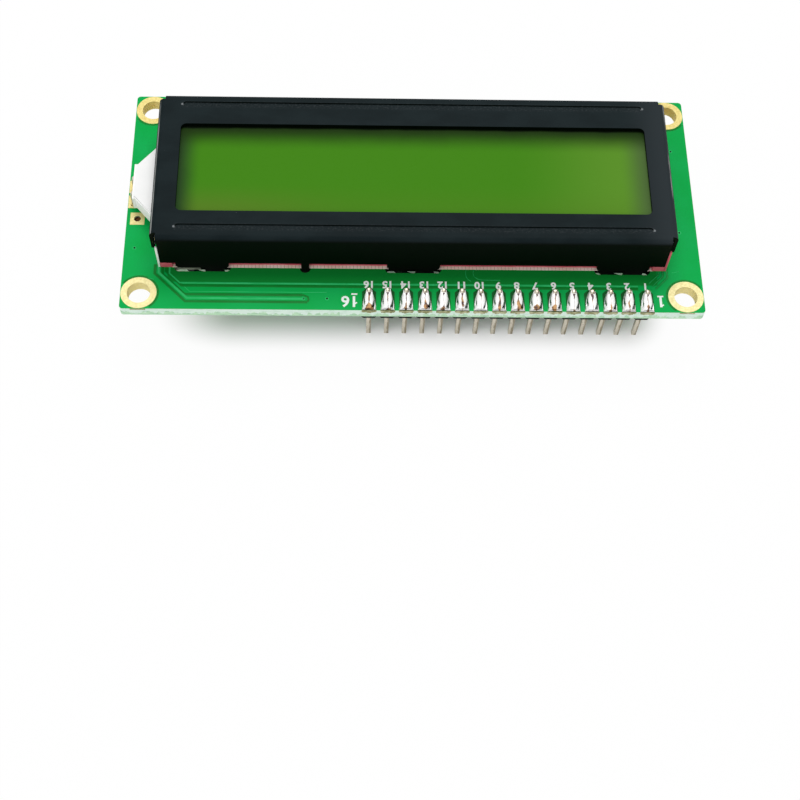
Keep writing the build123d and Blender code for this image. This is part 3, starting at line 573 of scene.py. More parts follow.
@dataclass(frozen=True)
class Metal:
    """Bare, plated or molten metal, with streaks, dull clouds and stains where flux dried; pins get
    painted shade down one side.
    """

    name: str
    colour: Colour
    stain: Colour
    roughness: float = 0.22
    stained: float = 0.25
    streak: Sequence[float] = (1, 1, 1)
    grain: float = 0.3
    depth: float = 0.01
    metallic: float = 1.0
    seam: bool = False
    # Paints shade down one side of each pin.
    two_tone: bool = False
    # Painted highlight: the metal turns paler towards the near rows.
    pale: Optional[Colour] = None
    pale_rows: Point = (-17.0, 14.0)
    char: Colour = tint(66, 30, 26)
    amber: Colour = tint(196, 150, 96)
    char_rows: Point = (-16.5, -16.1)
    first_pin: float = 32.0
    pitch: float = 2.54
    seam_from: float = -15.85
    seam_to: float = -17.6
    foot_rows: Point = (-17.7, -17.2)

    def offset(self, sheet: Sheet) -> Any:
        """Gives how far a place lies along the row from the nearest pin's middle."""
        shifted = sheet.plus(sheet.millimetres()[0], 31.5 * self.pitch - self.first_pin)
        return sheet.math("SUBTRACT", sheet.math("MODULO", shifted, self.pitch), self.pitch / 2)

    def burnt(self, sheet: Sheet) -> Any:
        """Draws the dark notch of flux at each pin and the broken seam below it.

        Args:
            sheet: the material's node sheet.

        Returns:
            How much of the burnt flux shows.
        """
        across = sheet.millimetres()[1]
        wander = sheet.span(sheet.noise(0.9, 2.0), 0.2, 0.8, -0.09, 0.09)
        gap = sheet.absolute(sheet.plus(self.offset(sheet), wander))
        wide = sheet.span(sheet.noise(1.5, 3.0, (1, 0.8, 1)), 0.36, 0.7, 0.02, 0.2)
        wide = sheet.times(wide, sheet.span(across, self.seam_to, self.seam_from, 1.3, 0.6))
        notch = sheet.span(across, self.seam_from - 0.5, self.seam_from, 0.0, 0.12)
        foot = sheet.times(sheet.span(sheet.noise(1.9, 1.0), 0.42, 0.6, 0.0, 0.4),
                           sheet.span(across, *self.foot_rows, 1.0, 0.0))
        wide = sheet.plus(wide, notch, foot)
        line = sheet.span(sheet.math("SUBTRACT", gap, wide), -0.05, 0.03, 1.0, 0.0)
        return sheet.times(line, sheet.math("LESS_THAN", across, self.seam_from))

    def build(self) -> bpy.types.Material:
        """Stains the colour in clouds, and roughens it along the streaks.

        Returns:
            The material.
        """
        sheet = Sheet(self.name)
        fine = sheet.noise(self.grain, 3.0, self.streak)
        share = sheet.span(sheet.noise(1.3, 3.0), 0.52, 0.72, 0.0, self.stained)
        colour = sheet.blend(share, self.colour, self.stain)
        # Painted highlight, strongest on the near rows.
        if self.pale:
            near = sheet.span(sheet.millimetres()[1], *self.pale_rows, 0.9, 0.0)
            colour = sheet.blend(near, colour, self.pale)
        if self.seam:
            flux = sheet.blend(sheet.span(sheet.noise(0.7), 0.35, 0.65), self.char, self.amber)
            dark = sheet.span(sheet.millimetres()[1], *self.char_rows)
            flux = sheet.blend(dark, flux, self.char)
            colour = sheet.blend(self.burnt(sheet), colour, flux)
        # Painted shade: one side of each pin darkens towards the second colour.
        if self.two_tone:
            edge = sheet.plus(self.offset(sheet), sheet.span(fine, 0.2, 0.8, -0.12, 0.12))
            colour = sheet.blend(sheet.span(edge, 0.0, 0.16), colour, self.stain)
        return sheet.done(
            Base_Color=colour,
            Metallic=self.metallic,
            Roughness=sheet.span(fine, 0.3, 0.7, self.roughness * 0.7, self.roughness * 1.4),
            Normal=sheet.relief(fine, self.depth, 0.7),
        )


@dataclass(frozen=True)
class ClearSheet:
    """Glass or clear plastic, faintly tinted."""

    name: str
    colour: Colour
    index: float = 1.5
    roughness: float = 0.05

    def build(self) -> bpy.types.Material:
        """Sets a clear shader with a slightly uneven skin.

        Returns:
            The material.
        """
        sheet = Sheet(self.name)
        return sheet.done(
            Base_Color=self.colour,
            Roughness=self.roughness,
            IOR=self.index,
            Transmission_Weight=1.0,
            Normal=sheet.relief(sheet.noise(3.0), 0.002, 0.3),
        )


class Finish(Enum):
    """Every finish on the module."""

    BOARD = Lacquer("board_lacquer")
    TRACK = Moulding("lacquer_over_copper", tint(52, 192, 110), tint(40, 180, 96), 0.35)
    GAP = Moulding("lacquer_over_laminate", tint(3, 118, 42), tint(7, 126, 48), 0.35)
    # Painted shade: dark green on the header lands at the solder's shoulders, where shade and dark
    # reflections fall.
    SHADOW = Moulding("land_painted_shade", tint(6, 78, 30), tint(14, 92, 40), 0.4)
    INK = Moulding("white_ink", tint(248, 252, 249), tint(238, 246, 241), 0.6, 0.12, 0.01)
    # Painted shade: a dark disc in each via stands for the shade inside its bore.
    HOLE = Moulding("via_bore_painted_shade", tint(22, 52, 34), tint(14, 38, 24), 0.6)
    BEZEL = BezelPaint()
    FILM = DisplayFilm()
    REAR_FILM = Moulding("rear_film", tint(96, 128, 60), tint(88, 120, 52), 0.4)
    WHITE = Moulding("white_moulding", tint(251, 251, 250), tint(246, 247, 246), 0.42, 0.3, 0.005)
    SHEET = Moulding("white_film", tint(240, 240, 238), tint(232, 232, 230), 0.5)
    RUBBER = Moulding("pink_elastomer", tint(222, 112, 124), tint(206, 92, 108), 0.55, 0.2, 0.01)
    CONTACT = Moulding("contact_row", tint(255, 244, 232), tint(248, 226, 208), 0.4)
    BLACK = Moulding("black_moulding", tint(11, 11, 12), tint(17, 17, 18), 0.5, 0.2, 0.012)
    RESIN = Moulding("black_resin", tint(20, 21, 25), tint(30, 31, 36), 0.3, 0.35, 0.02, 3.0, 0.4)
    CERAMIC = Moulding("white_ceramic", tint(232, 230, 222), tint(218, 216, 206), 0.5)
    GLAZE = Moulding("black_glaze", tint(24, 24, 26), tint(34, 33, 34), 0.25, specular=0.35)
    LAMP = Moulding("lamp_resin", tint(238, 236, 200), tint(228, 224, 180), 0.3)
    FLUX = Moulding("plated_edge", tint(204, 200, 162), tint(142, 142, 98), 0.5, 0.2, 0.02, 0.9)
    BURNT = Moulding("burnt_flux", tint(104, 66, 40), tint(60, 34, 22), 0.4, 0.2, 0.03, 0.5)
    # The gold lands turn paler towards the near side: painted highlight.
    GOLD = Metal("gold_land", tint(230, 211, 131), tint(216, 184, 101), 0.6, 0.7, metallic=0.15,
                 pale=tint(242, 230, 168))
    SOLDER = Metal("solder", tint(253, 253, 252), tint(224, 214, 206), 0.42, 0.3, depth=0.002,
                   metallic=0.12, seam=True)
    REAR_SOLDER = Metal("rear_solder", tint(236, 236, 234), tint(170, 150, 130), 0.2, 0.4)
    PIN = Metal("tinned_pin", tint(208, 200, 182), tint(148, 138, 116), 0.36, 0.2, (1, 1, 0.2),
                metallic=0.6, two_tone=True)
    GLASS = ClearSheet("cell_glass", tint(235, 248, 240))
    ACRYLIC = ClearSheet("clear_acrylic", tint(248, 250, 250), 1.49)


class Slot(Enum):
    """Names of the record's material slots, handed to each new piece but not read."""

    BOARD = "board_mask"
    LAND = "gold_land"
    PRINT = "white_film"
    SOLDER = "solder"
    RESIN = "black_resin"
    CHIP = "chip_ceramic"
    RUBBER = "elastomer"


class Side(Enum):
    """Face of the board, as the sign of its outward direction."""

    FRONT = 1
    REAR = -1


@dataclass
class Workshop:
    """Keeps the finishes, and turns meshes in millimetres into pieces of the module."""

    nodes: dict[str, bpy.types.Object]
    shelf: dict[Finish, bpy.types.Material] = field(default_factory=dict)

    def finish(self, kind: Finish) -> bpy.types.Material:
        """Gives a finish's material, and builds it the first time.

        Args:
            kind: the finish.

        Returns:
            Its material.
        """
        if kind not in self.shelf:
            self.shelf[kind] = kind.value.build()
        return self.shelf[kind]

    def dress(self, kind: Finish, *names: str) -> None:
        """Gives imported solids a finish.

        Args:
            kind: the finish.
            names: the nodes; a name that ends in * stands for all that start so.
        """
        for name in names:
            stem = name.rstrip("*")
            found = [node for key, node in self.nodes.items()
                     if key == name or (stem != name and key.startswith(stem))]
            for node in found:
                node.data.materials.clear()
                node.data.materials.append(self.finish(kind))
            LOG.info("dressed %s: %d", name, len(found))

    def piece(
        self,
        name: str,
        mesh: bmesh.types.BMesh,
        kinds: Finish | Sequence[Finish],
        slot: Slot,
        replaces: Sequence[str] = (),
        smooth: float = 35.0,
    ) -> None:
        """Makes a finished piece that rides on the module.

        Args:
            name: the piece's name.
            mesh: its shape in millimetres.
            kinds: its finish, or one for each material number.
            slot: not used.
            replaces: the nodes that it stands for.
            smooth: the largest angle in degrees between faces that shade as one.
        """
        bmesh.ops.recalc_face_normals(mesh, faces=mesh.faces)
        data = bpy.data.meshes.new(name)
        mesh.to_mesh(data)
        mesh.free()
        data.transform(Matrix.Scale(MILLIMETRE, 4))
        for kind in [kinds] if isinstance(kinds, Finish) else kinds:
            data.materials.append(self.finish(kind))
        data.shade_smooth()
        data.set_sharp_from_angle(angle=math.radians(smooth))
        made = bpy.data.objects.new(name, data)
        bpy.context.scene.collection.objects.link(made)
        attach(made, "root")
        if replaces:
            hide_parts(*replaces)
        LOG.info("piece %s: %d faces", name, len(data.polygons))


def flattened(curve: bpy.types.Curve) -> bpy.types.Mesh:
    """Makes a mesh of a curve or of text.

    Args:
        curve: the curve, still unturned and unscaled.

    Returns:
        Its mesh.
    """
    holder = bpy.data.objects.new(curve.name, curve)
    made = bpy.data.meshes.new_from_object(holder)
    bpy.data.objects.remove(holder)
    return made


def box(
    mesh: bmesh.types.BMesh, size: Sequence[float], centre: Sequence[float], edge: float = 0.0,
    number: int = 0,
) -> None:
    """Adds a box with eased edges.

    Args:
        mesh: where it is added.
        size: its length, depth and height.
        centre: its middle.
        edge: how wide its bevels are.
        number: its material number.
    """
    place = Matrix.Translation(centre) @ Matrix.Diagonal((*size, 1.0))
    verts = bmesh.ops.create_cube(mesh, size=1.0, matrix=place)["verts"]
    faces = {face for vert in verts for face in vert.link_faces}
    for face in faces:
        face.material_index = number
    if edge:
        edges = list({side for vert in verts for side in vert.link_edges})
        bmesh.ops.bevel(mesh, geom=edges, offset=edge, segments=2, profile=0.5, affect="EDGES",
                        material=-1)


def ball(
    mesh: bmesh.types.BMesh, sides: int, centre: Sequence[float], size: Sequence[float],
    turn: float = 0.0,
) -> None:
    """Adds a flattened ball.

    Args:
        mesh: where it is added.
        sides: how many faces go round.
        centre: its middle.
        size: its half length, half depth and half height.
        turn: how far it is turned about the upright axis, in radians.
    """
    place = Matrix.Translation(centre) @ Matrix.Rotation(turn, 4, "Z")
    bmesh.ops.create_uvsphere(mesh, u_segments=sides, v_segments=sides // 2, radius=1.0,
                              matrix=place @ Matrix.Diagonal((*size, 1.0)))


def turned(
    mesh: bmesh.types.BMesh, profile: Sequence[Point], steps: int,
    centre: Sequence[float] = (0, 0, 0), number: int = 0,
) -> list[bmesh.types.BMVert]:
    """Adds a shape turned about the upright axis, closed where its profile meets the axis.

    Args:
        mesh: where it is added.
        profile: radius and height of each point; the first and last lie on the axis or meet.
        steps: how many faces go round.
        centre: the foot of the axis.
        number: its material number.

    Returns:
        Its vertices.
    """
    before = set(mesh.verts)
    faces = set(mesh.faces)
    chain = [mesh.verts.new((radius, 0.0, height)) for radius, height in profile]
    edges = [mesh.edges.new(pair) for pair in zip(chain, chain[1:])]
    bmesh.ops.spin(mesh, geom=chain + edges, cent=(0, 0, 0), axis=(0, 0, 1), angle=2 * math.pi,
                   steps=steps, use_merge=True, use_duplicate=False)
    made = [vert for vert in mesh.verts if vert not in before]
    bmesh.ops.remove_doubles(mesh, verts=made, dist=1e-5)
    made = [vert for vert in mesh.verts if vert not in before]
    bmesh.ops.translate(mesh, verts=made, vec=centre)
    for face in mesh.faces:
        if face not in faces:
            face.material_index = number
    return made


def ring_profile(inner: float, outer: float, top: float, shoulder: float = 0.0) -> list[Point]:
    """Draws the closed section of a flat ring.

    Args:
        inner, outer: its radii.
        top: the height of its upper face above its foot.
        shoulder: how much narrower the upper face is at its outer side.

    Returns:
        The points of the section.
    """
    return [(inner, 0.0), (outer, 0.0), (outer - shoulder, top), (inner, top), (inner, 0.0)]


def stacked(
    mesh: bmesh.types.BMesh, sections: Sequence[Sequence[float]], steps: int, point: float = 0.0
) -> list[bmesh.types.BMVert]:
    """Adds a shape of oval sections, one above the other, closed at both ends.

    Args:
        mesh: where it is added.
        sections: middle X and Y, half width, half length and height of each oval.
        steps: how many sides an oval has.
        point: how much the ovals narrow towards their far end.

    Returns:
        Its vertices.
    """
    x, y, wide, long, height = sections[0]
    place = Matrix.Translation((x, y, height)) @ Matrix.Diagonal((wide, long, 1.0, 1.0))
    ring = bmesh.ops.create_circle(mesh, cap_ends=True, radius=1.0, segments=steps, matrix=place)
    ring = ring["verts"]
    made = list(ring)
    for vert in ring:
        vert.co.x = x + (vert.co.x - x) * (1.0 - point * max(0.0, (vert.co.y - y) / long))
    face = ring[0].link_faces[0]
    for number, above in enumerate(sections[1:]):
        raised = bmesh.ops.extrude_face_region(mesh, geom=[face], use_keep_orig=number == 0)["geom"]
        ring = [part for part in raised if isinstance(part, bmesh.types.BMVert)]
        face = next(part for part in raised if isinstance(part, bmesh.types.BMFace))
        step = (
            Matrix.Translation((above[0], above[1], above[4]))
            @ Matrix.Diagonal((above[2] / wide, above[3] / long, 1.0, 1.0))
            @ Matrix.Translation((-x, -y, -height))
        )
        bmesh.ops.transform(mesh, matrix=step, verts=ring)
        x, y, wide, long, height = above
        made += ring
    return made


def beside(path: Sequence[Point], distance: float) -> Path:
    """Gives the path that runs beside another, with its corners mitred.

    Args:
        path: the points of the first path.
        distance: how far to its left the new one runs.

    Returns:
        The new points.
    """
    points = [Vector(point) for point in path]
    ways = [(end - start).normalized() for start, end in zip(points, points[1:])]
    moved = []
    for number, point in enumerate(points):
        before, after = ways[max(number - 1, 0)], ways[min(number, len(ways) - 1)]
        left = Vector((-(before + after).y, (before + after).x)).normalized()
        moved.append(point + left * distance / left.dot(Vector((-before.y, before.x))))
    return moved


@dataclass(frozen=True)
class Track:
    """One track or a bundle of tracks side by side, with a bare band at each side of each."""

    path: Sequence[Point]
    width: float
    gap: float = 0.0
    count: int = 1
    pitch: float = 0.0

    def paths(self) -> list[Path]:
        """Gives the middle line of each track.

        Returns:
            The lines.
        """
        if self.count == 1:
            return [[Vector(point) for point in self.path]]
        first = (self.count - 1) / 2
        return [beside(self.path, (number - first) * self.pitch) for number in range(self.count)]


@dataclass
class Copper:
    """Tracks, gaps and vias that show through the lacquer on one face of the board."""

    shop: Workshop
    side: Side
    level: float
    tracks: list[tuple[Path, float]] = field(default_factory=list)
    gaps: list[tuple[Path, float]] = field(default_factory=list)
    vias: list[tuple[Point, float, bool]] = field(default_factory=list)
    track_height: float = 0.03
    gap_height: float = 0.008
    fine_width: float = 0.3
    bore_share: float = 0.27
    via_sides: int = 16

    def lay(self, *tracks: Track) -> None:
        """Adds tracks, and the gaps that part them from the copper beside them.

        Args:
            tracks: the tracks.
        """
        for track in tracks:
            for path in track.paths():
                self.tracks.append((path, track.width))
                if track.gap:
                    self.gaps.append((path, track.width + 2 * track.gap))

    def skip(self, *bands: Track) -> None:
        """Adds bare bands, where the copper is etched away."""
        self.gaps += [(path, band.width) for band in bands for path in band.paths()]

    def drill(self, places: Iterable[Point], size: float, plated: bool = False) -> None:
        """Adds vias of one size; plated ones show a bare land."""
        self.vias += [(place, size, plated) for place in places]

    def ribbon(self, paths: Sequence[tuple[Path, float]], height: float) -> bmesh.types.BMesh:
        """Makes low flat bands along the paths.

        Args:
            paths: the middle lines and their widths.
            height: how far they stand above the face.

        Returns:
            Their mesh in millimetres.
        """
        whole = bmesh.new()
        for width in sorted({width for _, width in paths}):
            curve = bpy.data.curves.new("band", "CURVE")
            curve.dimensions = "3D"
            curve.bevel_depth = width / 2
            curve.bevel_resolution = 1 if width > self.fine_width else 0
            curve.use_fill_caps = True
            for path, _ in [pair for pair in paths if pair[1] == width]:
                spline = curve.splines.new("POLY")
                spline.points.add(len(path) - 1)
                for point, place in zip(spline.points, path):
                    point.co = (place.x, place.y, 0.0, 1.0)
            flat = flattened(curve)
            flat.transform(Matrix.Diagonal((1.0, 1.0, 2.0 * height / width, 1.0)))
            whole.from_mesh(flat)
            bpy.data.meshes.remove(flat)
        bmesh.ops.translate(whole, verts=whole.verts, vec=(0, 0, self.level))
        return whole

    def build(self, name: str) -> None:
        """Makes the pieces of this face.

        Args:
            name: how their names start.
        """
        bands = (("gaps", self.gaps, self.gap_height, Finish.GAP),
                 ("tracks", self.tracks, self.track_height, Finish.TRACK))
        for word, paths, height, kind in bands:
            self.shop.piece(f"{name}_{word}", self.ribbon(paths, height), kind, Slot.BOARD)
        rings, lands = bmesh.new(), bmesh.new()
        high = self.track_height * self.side.value
        for (x, y), size, plated in self.vias:
            outer, inner = size / 2, size * self.bore_share
            target = lands if plated else rings
            place = (x, y, self.level)
            ring = ring_profile(inner, outer, high, outer * 0.15)
            turned(target, ring, self.via_sides, place)
            # A dark disc in the bore: painted shade in place of an open hole.
            plug = [(0.0, 0.0), (inner, 0.0), (inner, high * 0.7), (0.0, high * 0.7)]
            turned(target, plug, self.via_sides, place, 1)
        for word, mesh, kind, slot in (("vias", rings, Finish.TRACK, Slot.BOARD),
                                       ("bare_vias", lands, Finish.GOLD, Slot.LAND)):
            if mesh.verts:
                self.shop.piece(f"{name}_{word}", mesh, (kind, Finish.HOLE), slot, smooth=60)
            else:
                mesh.free()


@dataclass
class Printing:
    """White ink on one face of the board: numbers, signs, frames and rings."""

    shop: Workshop
    side: Side
    level: float
    ink: float = 0.05
    stroke: float = 0.2
    figure_share: float = 0.73
    layers: int = 11
    bars: int = 0
    mesh: bmesh.types.BMesh = field(default_factory=bmesh.new)

    def text(
        self, words: str, place: Point, height: float, turn: float = 0.0, bold: float = 0.02
    ) -> None:
        """Prints a number or a sign.

        Args:
            words: what is printed.
            place: its middle.
            height: the height of a figure.
            turn: how far it is turned in degrees, as its reader sees it.
            bold: how much the strokes are thickened.
        """
        curve = bpy.data.curves.new("print", "FONT")
        curve.body = words
        curve.size = height / self.figure_share
        curve.extrude = self.ink / 2
        curve.offset = bold * height
        curve.resolution_u = 3
        curve.align_x, curve.align_y = "CENTER", "CENTER"
        flat = flattened(curve)
        facing = Matrix.Rotation(math.pi if self.side is Side.REAR else 0.0, 4, "X")
        spot = Matrix.Translation((*place, self.level + self.side.value * self.ink / 2))
        flat.transform(spot @ facing @ Matrix.Rotation(math.radians(turn), 4, "Z"))
        self.mesh.from_mesh(flat)
        bpy.data.meshes.remove(flat)

    def bar(self, start: Point, end: Point, stroke: float = 0.0) -> None:
        """Prints a straight stroke, a little thinner than the figures, so that no tops coincide.

        Args:
            start: the middle of its first end.
            end: the middle of its last end.
            stroke: its width, or 0 for the usual one.
        """
        ink = self.ink * (0.96 - 0.02 * (self.bars % self.layers))
        self.bars += 1
        first, last = Vector(start), Vector(end)
        width = stroke or self.stroke
        way = last - first
        middle = (first + last) / 2
        turn = Matrix.Rotation(math.atan2(way.y, way.x), 4, "Z")
        size = Matrix.Diagonal((way.length + width, width, ink, 1.0))
        place = Matrix.Translation((middle.x, middle.y, self.level + self.side.value * ink / 2))
        bmesh.ops.create_cube(self.mesh, size=1.0, matrix=place @ turn @ size)

    def frame(
        self, left: float, low: float, right: float, high: float, stroke: float = 0.0
    ) -> None:
        """Prints a rectangle.

        Args:
            left, low, right, high: where the middles of its four sides lie.
            stroke: their width, or 0 for the usual one.
        """
        corners = [(left, low), (right, low), (right, high), (left, high)]
        for start, end in zip(corners, corners[1:] + corners[:1]):
            self.bar(start, end, stroke)

    def ring(self, place: Point, radius: float, stroke: float = 0.0) -> None:
        """Prints a circle.

        Args:
            place: its centre.
            radius: the radius of its middle line.
            stroke: its width, or 0 for the usual one.
        """
        half = (stroke or self.stroke) / 2
        profile = ring_profile(radius - half, radius + half, self.side.value * self.ink)
        turned(self.mesh, profile, 64, (*place, self.level))

    def build(self, name: str) -> None:
        """Makes one piece of all the ink on this face."""
        self.shop.piece(name, self.mesh, Finish.INK, Slot.PRINT)


@dataclass
class Board:
    """The board's printed front, its plated edge patches, the contact rows and the flux marks."""

    shop: Workshop
    near_edge: float = -18.0
    holes: Point = (37.5, 15.5)
    hole_clearance: float = 2.64
    pin_count: int = 16
    pin_pitch: float = 2.54
    pin_one: float = 32.0
    pin_row: float = -15.5
    strip_middle: float = 0.65
    strip_face: float = 11.51
    finger_pitch: float = 0.5
    finger_size: Size = (0.47, 0.5, 0.03)
    finger_run: float = 66.4
    strip_end: Size = (0.3, 0.3, 4.6)
    strip_foot: Size = (1.7, 0.3, 1.0)
    strip_foot_inset: float = 0.95
    strip_end_face: float = 11.84
    strip_end_x: float = 34.9
    label_row: float = -13.86
    label_height: float = 1.12
    row_ends: Sequence[tuple[str, Point, float]] = (
        ("16", (-8.75, -16.55), 1.72), ("1", (33.95, -16.25), 1.66))
    serif_places: Sequence[float] = (33.95, -8.12)
    patch_steps: int = 6
    patch_size: Point = (0.3, 0.03)
    sliver_size: Point = (0.12, 0.03)
    sliver_offset: float = 0.96
    ring_patch: Size = (2.1, 0.03, 0.32)
    mark_level: float = 0.06
    marks: Sequence[Size] = (
        (-39.25, 3.0, 0.16), (-39.45, 2.3, 0.13), (-39.3, 1.1, 0.17), (-39.5, 0.4, 0.12),
        (-39.2, -0.75, 0.3), (-39.45, -1.25, 0.14), (-38.75, -0.5, 0.13), (-38.6, -1.35, 0.1))
    tracks: Sequence[Track] = (
        Track(((31.0, -13.85), (-32.0, -13.85), (-33.5, -12.35), (-33.5, -10.9)), 0.26),
        Track(((-15.07, -16.24), (-30.9, -16.24), (-34.95, -12.2), (-34.95, -10.9)), 0.34),
        Track(((-11.9, -15.22), (-30.6, -15.22), (-31.3, -14.5)), 0.1),
        Track(((7.3, -11.3), (7.22, -12.1), (7.3, -12.6), (7.55, -13.0), (7.95, -13.25)),
              0.1, 0.06),
        Track(((8.35, -11.3), (8.25, -12.0), (8.4, -12.5), (8.8, -12.85), (9.4, -13.02),
               (12.0, -13.04)), 0.1, 0.06),
        Track(((34.6, -10.6), (34.6, -12.2), (33.0, -13.8)), 0.1, 0.1, 3, 0.6),
        Track(((35.9, -11.6), (36.9, -11.4)), 0.1),
        Track(((-36.4, -13.1), (-35.6, -13.35)), 0.1))
    etched: Sequence[Track] = (
        Track(((31.0, -14.26), (-31.7, -14.26), (-33.95, -12.0), (-33.95, -10.9)), 0.46),
        Track(((-15.2, -15.66), (-31.3, -15.66), (-34.45, -12.5), (-34.45, -10.9)), 0.46),
        Track(((-14.5, -16.78), (-31.1, -16.78), (-35.5, -12.38), (-35.5, -10.9)), 0.42))
    etched_end: Track = Track(
        ((-15.2, -15.62), (-14.45, -15.95), (-14.35, -16.4), (-14.5, -16.75)), 0.3)
    vias: Sequence[Point] = (
        (-38.57, -8.28), (-15.07, -16.24), (-11.84, -16.21), (37.63, 9.08), (37.57, -4.96))
    via_size: float = 0.56

    def pins(self) -> list[float]:
        """Gives the X of each pin, from pin 1."""
        return [self.pin_one - self.pin_pitch * number for number in range(self.pin_count)]

    def arc(self, x: int, y: int) -> Track:
        """Draws the bare band round the inner side of a mounting hole.

        Args:
            x, y: the signs of the hole's place.

        Returns:
            The band.
        """
        turns = [math.radians(45.0 + 10.0 * number) for number in range(-10, 11)]
        reach = self.hole_clearance
        return Track([(x * (self.holes[0] - reach * math.cos(turn)),
                       y * (self.holes[1] - reach * math.sin(turn))) for turn in turns], 0.3)

    def front_copper(self) -> None:
        """Lays the wide tracks along the near edge, the corner bends and the front vias."""
        copper = Copper(self.shop, Side.FRONT, 0.0)
        copper.lay(*self.tracks)
        copper.skip(*self.etched, *[self.arc(x, y) for x in ENDS for y in ENDS], self.etched_end)
        copper.drill(self.vias, self.via_size)
        copper.build("front")

    def front_print(self) -> None:
        """Numbers the pins, which read from the far side of the board."""
        ink = Printing(self.shop, Side.FRONT, 0.0)
        for number, x in enumerate(self.pins(), start=1):
            ink.text(str(number), (x, self.label_row), self.label_height, 180.0, 0.045)
        for words, place, height in self.row_ends:
            ink.text(words, place, height, 180.0, 0.03)
        for x in self.serif_places:
            ink.bar((x - 0.3, -15.46), (x + 0.3, -15.46), 0.22)
            ink.bar((x + 0.02, -17.03), (x + 0.28, -16.84), 0.2)
        ink.build("front_print")

    def edge_patches(self) -> None:
        """Puts the cut copper of lands and rings on the near edge."""
        mesh = bmesh.new()
        wide = self.patch_size[0]
        for number, x in enumerate(self.pins()):
            for step in range(self.patch_steps):
                aside = step - (self.patch_steps - 1) / 2
                high = 0.66 - 0.05 * abs(aside) + 0.1 * math.sin(number * 2.3 + step * 1.7)
                box(mesh, (*self.patch_size, high), (x + wide * aside, self.near_edge, -high / 2))
            for side in ENDS:
                high = 0.36 + 0.12 * math.sin(number * 3.1 + side)
                place = (x + side * self.sliver_offset, self.near_edge, -high / 2)
                box(mesh, (*self.sliver_size, high), place)
        for end in ENDS:
            place = (end * self.holes[0], self.near_edge, -self.ring_patch[2] / 2)
            box(mesh, self.ring_patch, place, 0.008)
        self.shop.piece("edge_patches", mesh, Finish.FLUX, Slot.LAND)

    def contact_fingers(self) -> None:
        """Lays the contact rows that show in front of both elastomer strips."""
        mesh = bmesh.new()
        _, deep, high = self.finger_size
        count = int(self.finger_run / self.finger_pitch)
        for side in ENDS:
            y = self.strip_middle + side * (self.strip_face + deep / 2)
            for number in range(count + 1):
                x = (number - count / 2) * self.finger_pitch
                box(mesh, self.finger_size, (x, y, high / 2))
        self.shop.piece("contact_fingers", mesh, Finish.CONTACT, Slot.LAND)

    def strip_ends(self) -> None:
        """Adds the rubber that shows in the bezel's open corners."""
        mesh = bmesh.new()
        high = self.strip_end[2]
        foot_x = self.strip_end_x - self.strip_foot_inset
        for side in ENDS:
            y = self.strip_middle + side * self.strip_end_face
            for end in ENDS:
                white = int(end < 0)
                box(mesh, self.strip_end, (end * self.strip_end_x, y, high / 2), number=white)
                box(mesh, self.strip_foot, (end * foot_x, y, 0.52))
        self.shop.piece("strip_ends", mesh, (Finish.RUBBER, Finish.WHITE), Slot.RUBBER)

    def flux_marks(self) -> None:
        """Leaves a few small marks of burnt flux at the lamp's lands."""
        mesh = bmesh.new()
        for number, (x, y, size) in enumerate(self.marks):
            ball(mesh, 12, (x, y, self.mark_level), (size, size * 0.6, 0.05), number * 1.1)
        self.shop.piece("flux_marks", mesh, Finish.BURNT, Slot.SOLDER)

    def build(self) -> None:
        """Makes the front of the board."""
        self.front_copper()
        self.front_print()
        self.edge_patches()
        self.contact_fingers()
        self.strip_ends()
        self.flux_marks()


@dataclass
class Header:
    """Smooth solder that climbs the sixteen pins from the board's edge."""

    shop: Workshop
    board: Board
    land_end: float = -14.7
    widest: float = -17.7
    half_width: float = 0.96
    foot: float = 0.05
    height: float = 1.15
    top: float = 0.38
    point: float = 0.2
    levels: int = 8
    sides: int = 32
    cut: float = -17.96
    bead: float = 0.28
    tip: float = 1.22

    def joint(self, mesh: bmesh.types.BMesh, x: float, number: int) -> None:
        """Adds one joint: a pointed arch in plan, hollow flanks, and a cut face at the edge.

        Args:
            mesh: where it is added.
            x: the pin's place.
            number: counts the joints, so that no two are quite alike.
        """
        height = self.height * (1.0 + 0.06 * math.sin(number * 1.9))
        lean = 0.03 * math.sin(number * 2.7)
        row = self.board.pin_row
        sections = []
        for level in range(self.levels + 1):
            rise = level / self.levels
            share = (1.0 - rise) ** 1.05
            wide = self.top + (self.half_width - self.top) * share
            long = self.top + (self.land_end - self.widest - self.top) * share
            y = row + (self.widest - row) * share
            sections.append((x + lean * rise, y, wide, long, self.foot + height * rise))
        verts = stacked(mesh, sections, self.sides, self.point)
        geometry = list({part for vert in verts
                         for part in (vert, *vert.link_edges, *vert.link_faces)})
        cut = bmesh.ops.bisect_plane(mesh, geom=geometry, plane_co=(0, self.cut, 0),
                                     plane_no=(0, -1, 0), clear_outer=True, dist=1e-5)
        edges = [part for part in cut["geom_cut"]
                 if isinstance(part, bmesh.types.BMEdge) and part.is_boundary]
        bmesh.ops.holes_fill(mesh, edges=edges)
        ball(mesh, 16, (x, row, self.tip), (self.bead, self.bead, self.bead * 0.6))

    def build(self) -> None:
        """Makes all joints as one piece in place of the plain ones."""
        mesh = bmesh.new()
        for number, x in enumerate(self.board.pins()):
            self.joint(mesh, x, number)
        self.shop.piece("header_solder", mesh, Finish.SOLDER, Slot.SOLDER,
                        ["header_solder_joints"], 50)


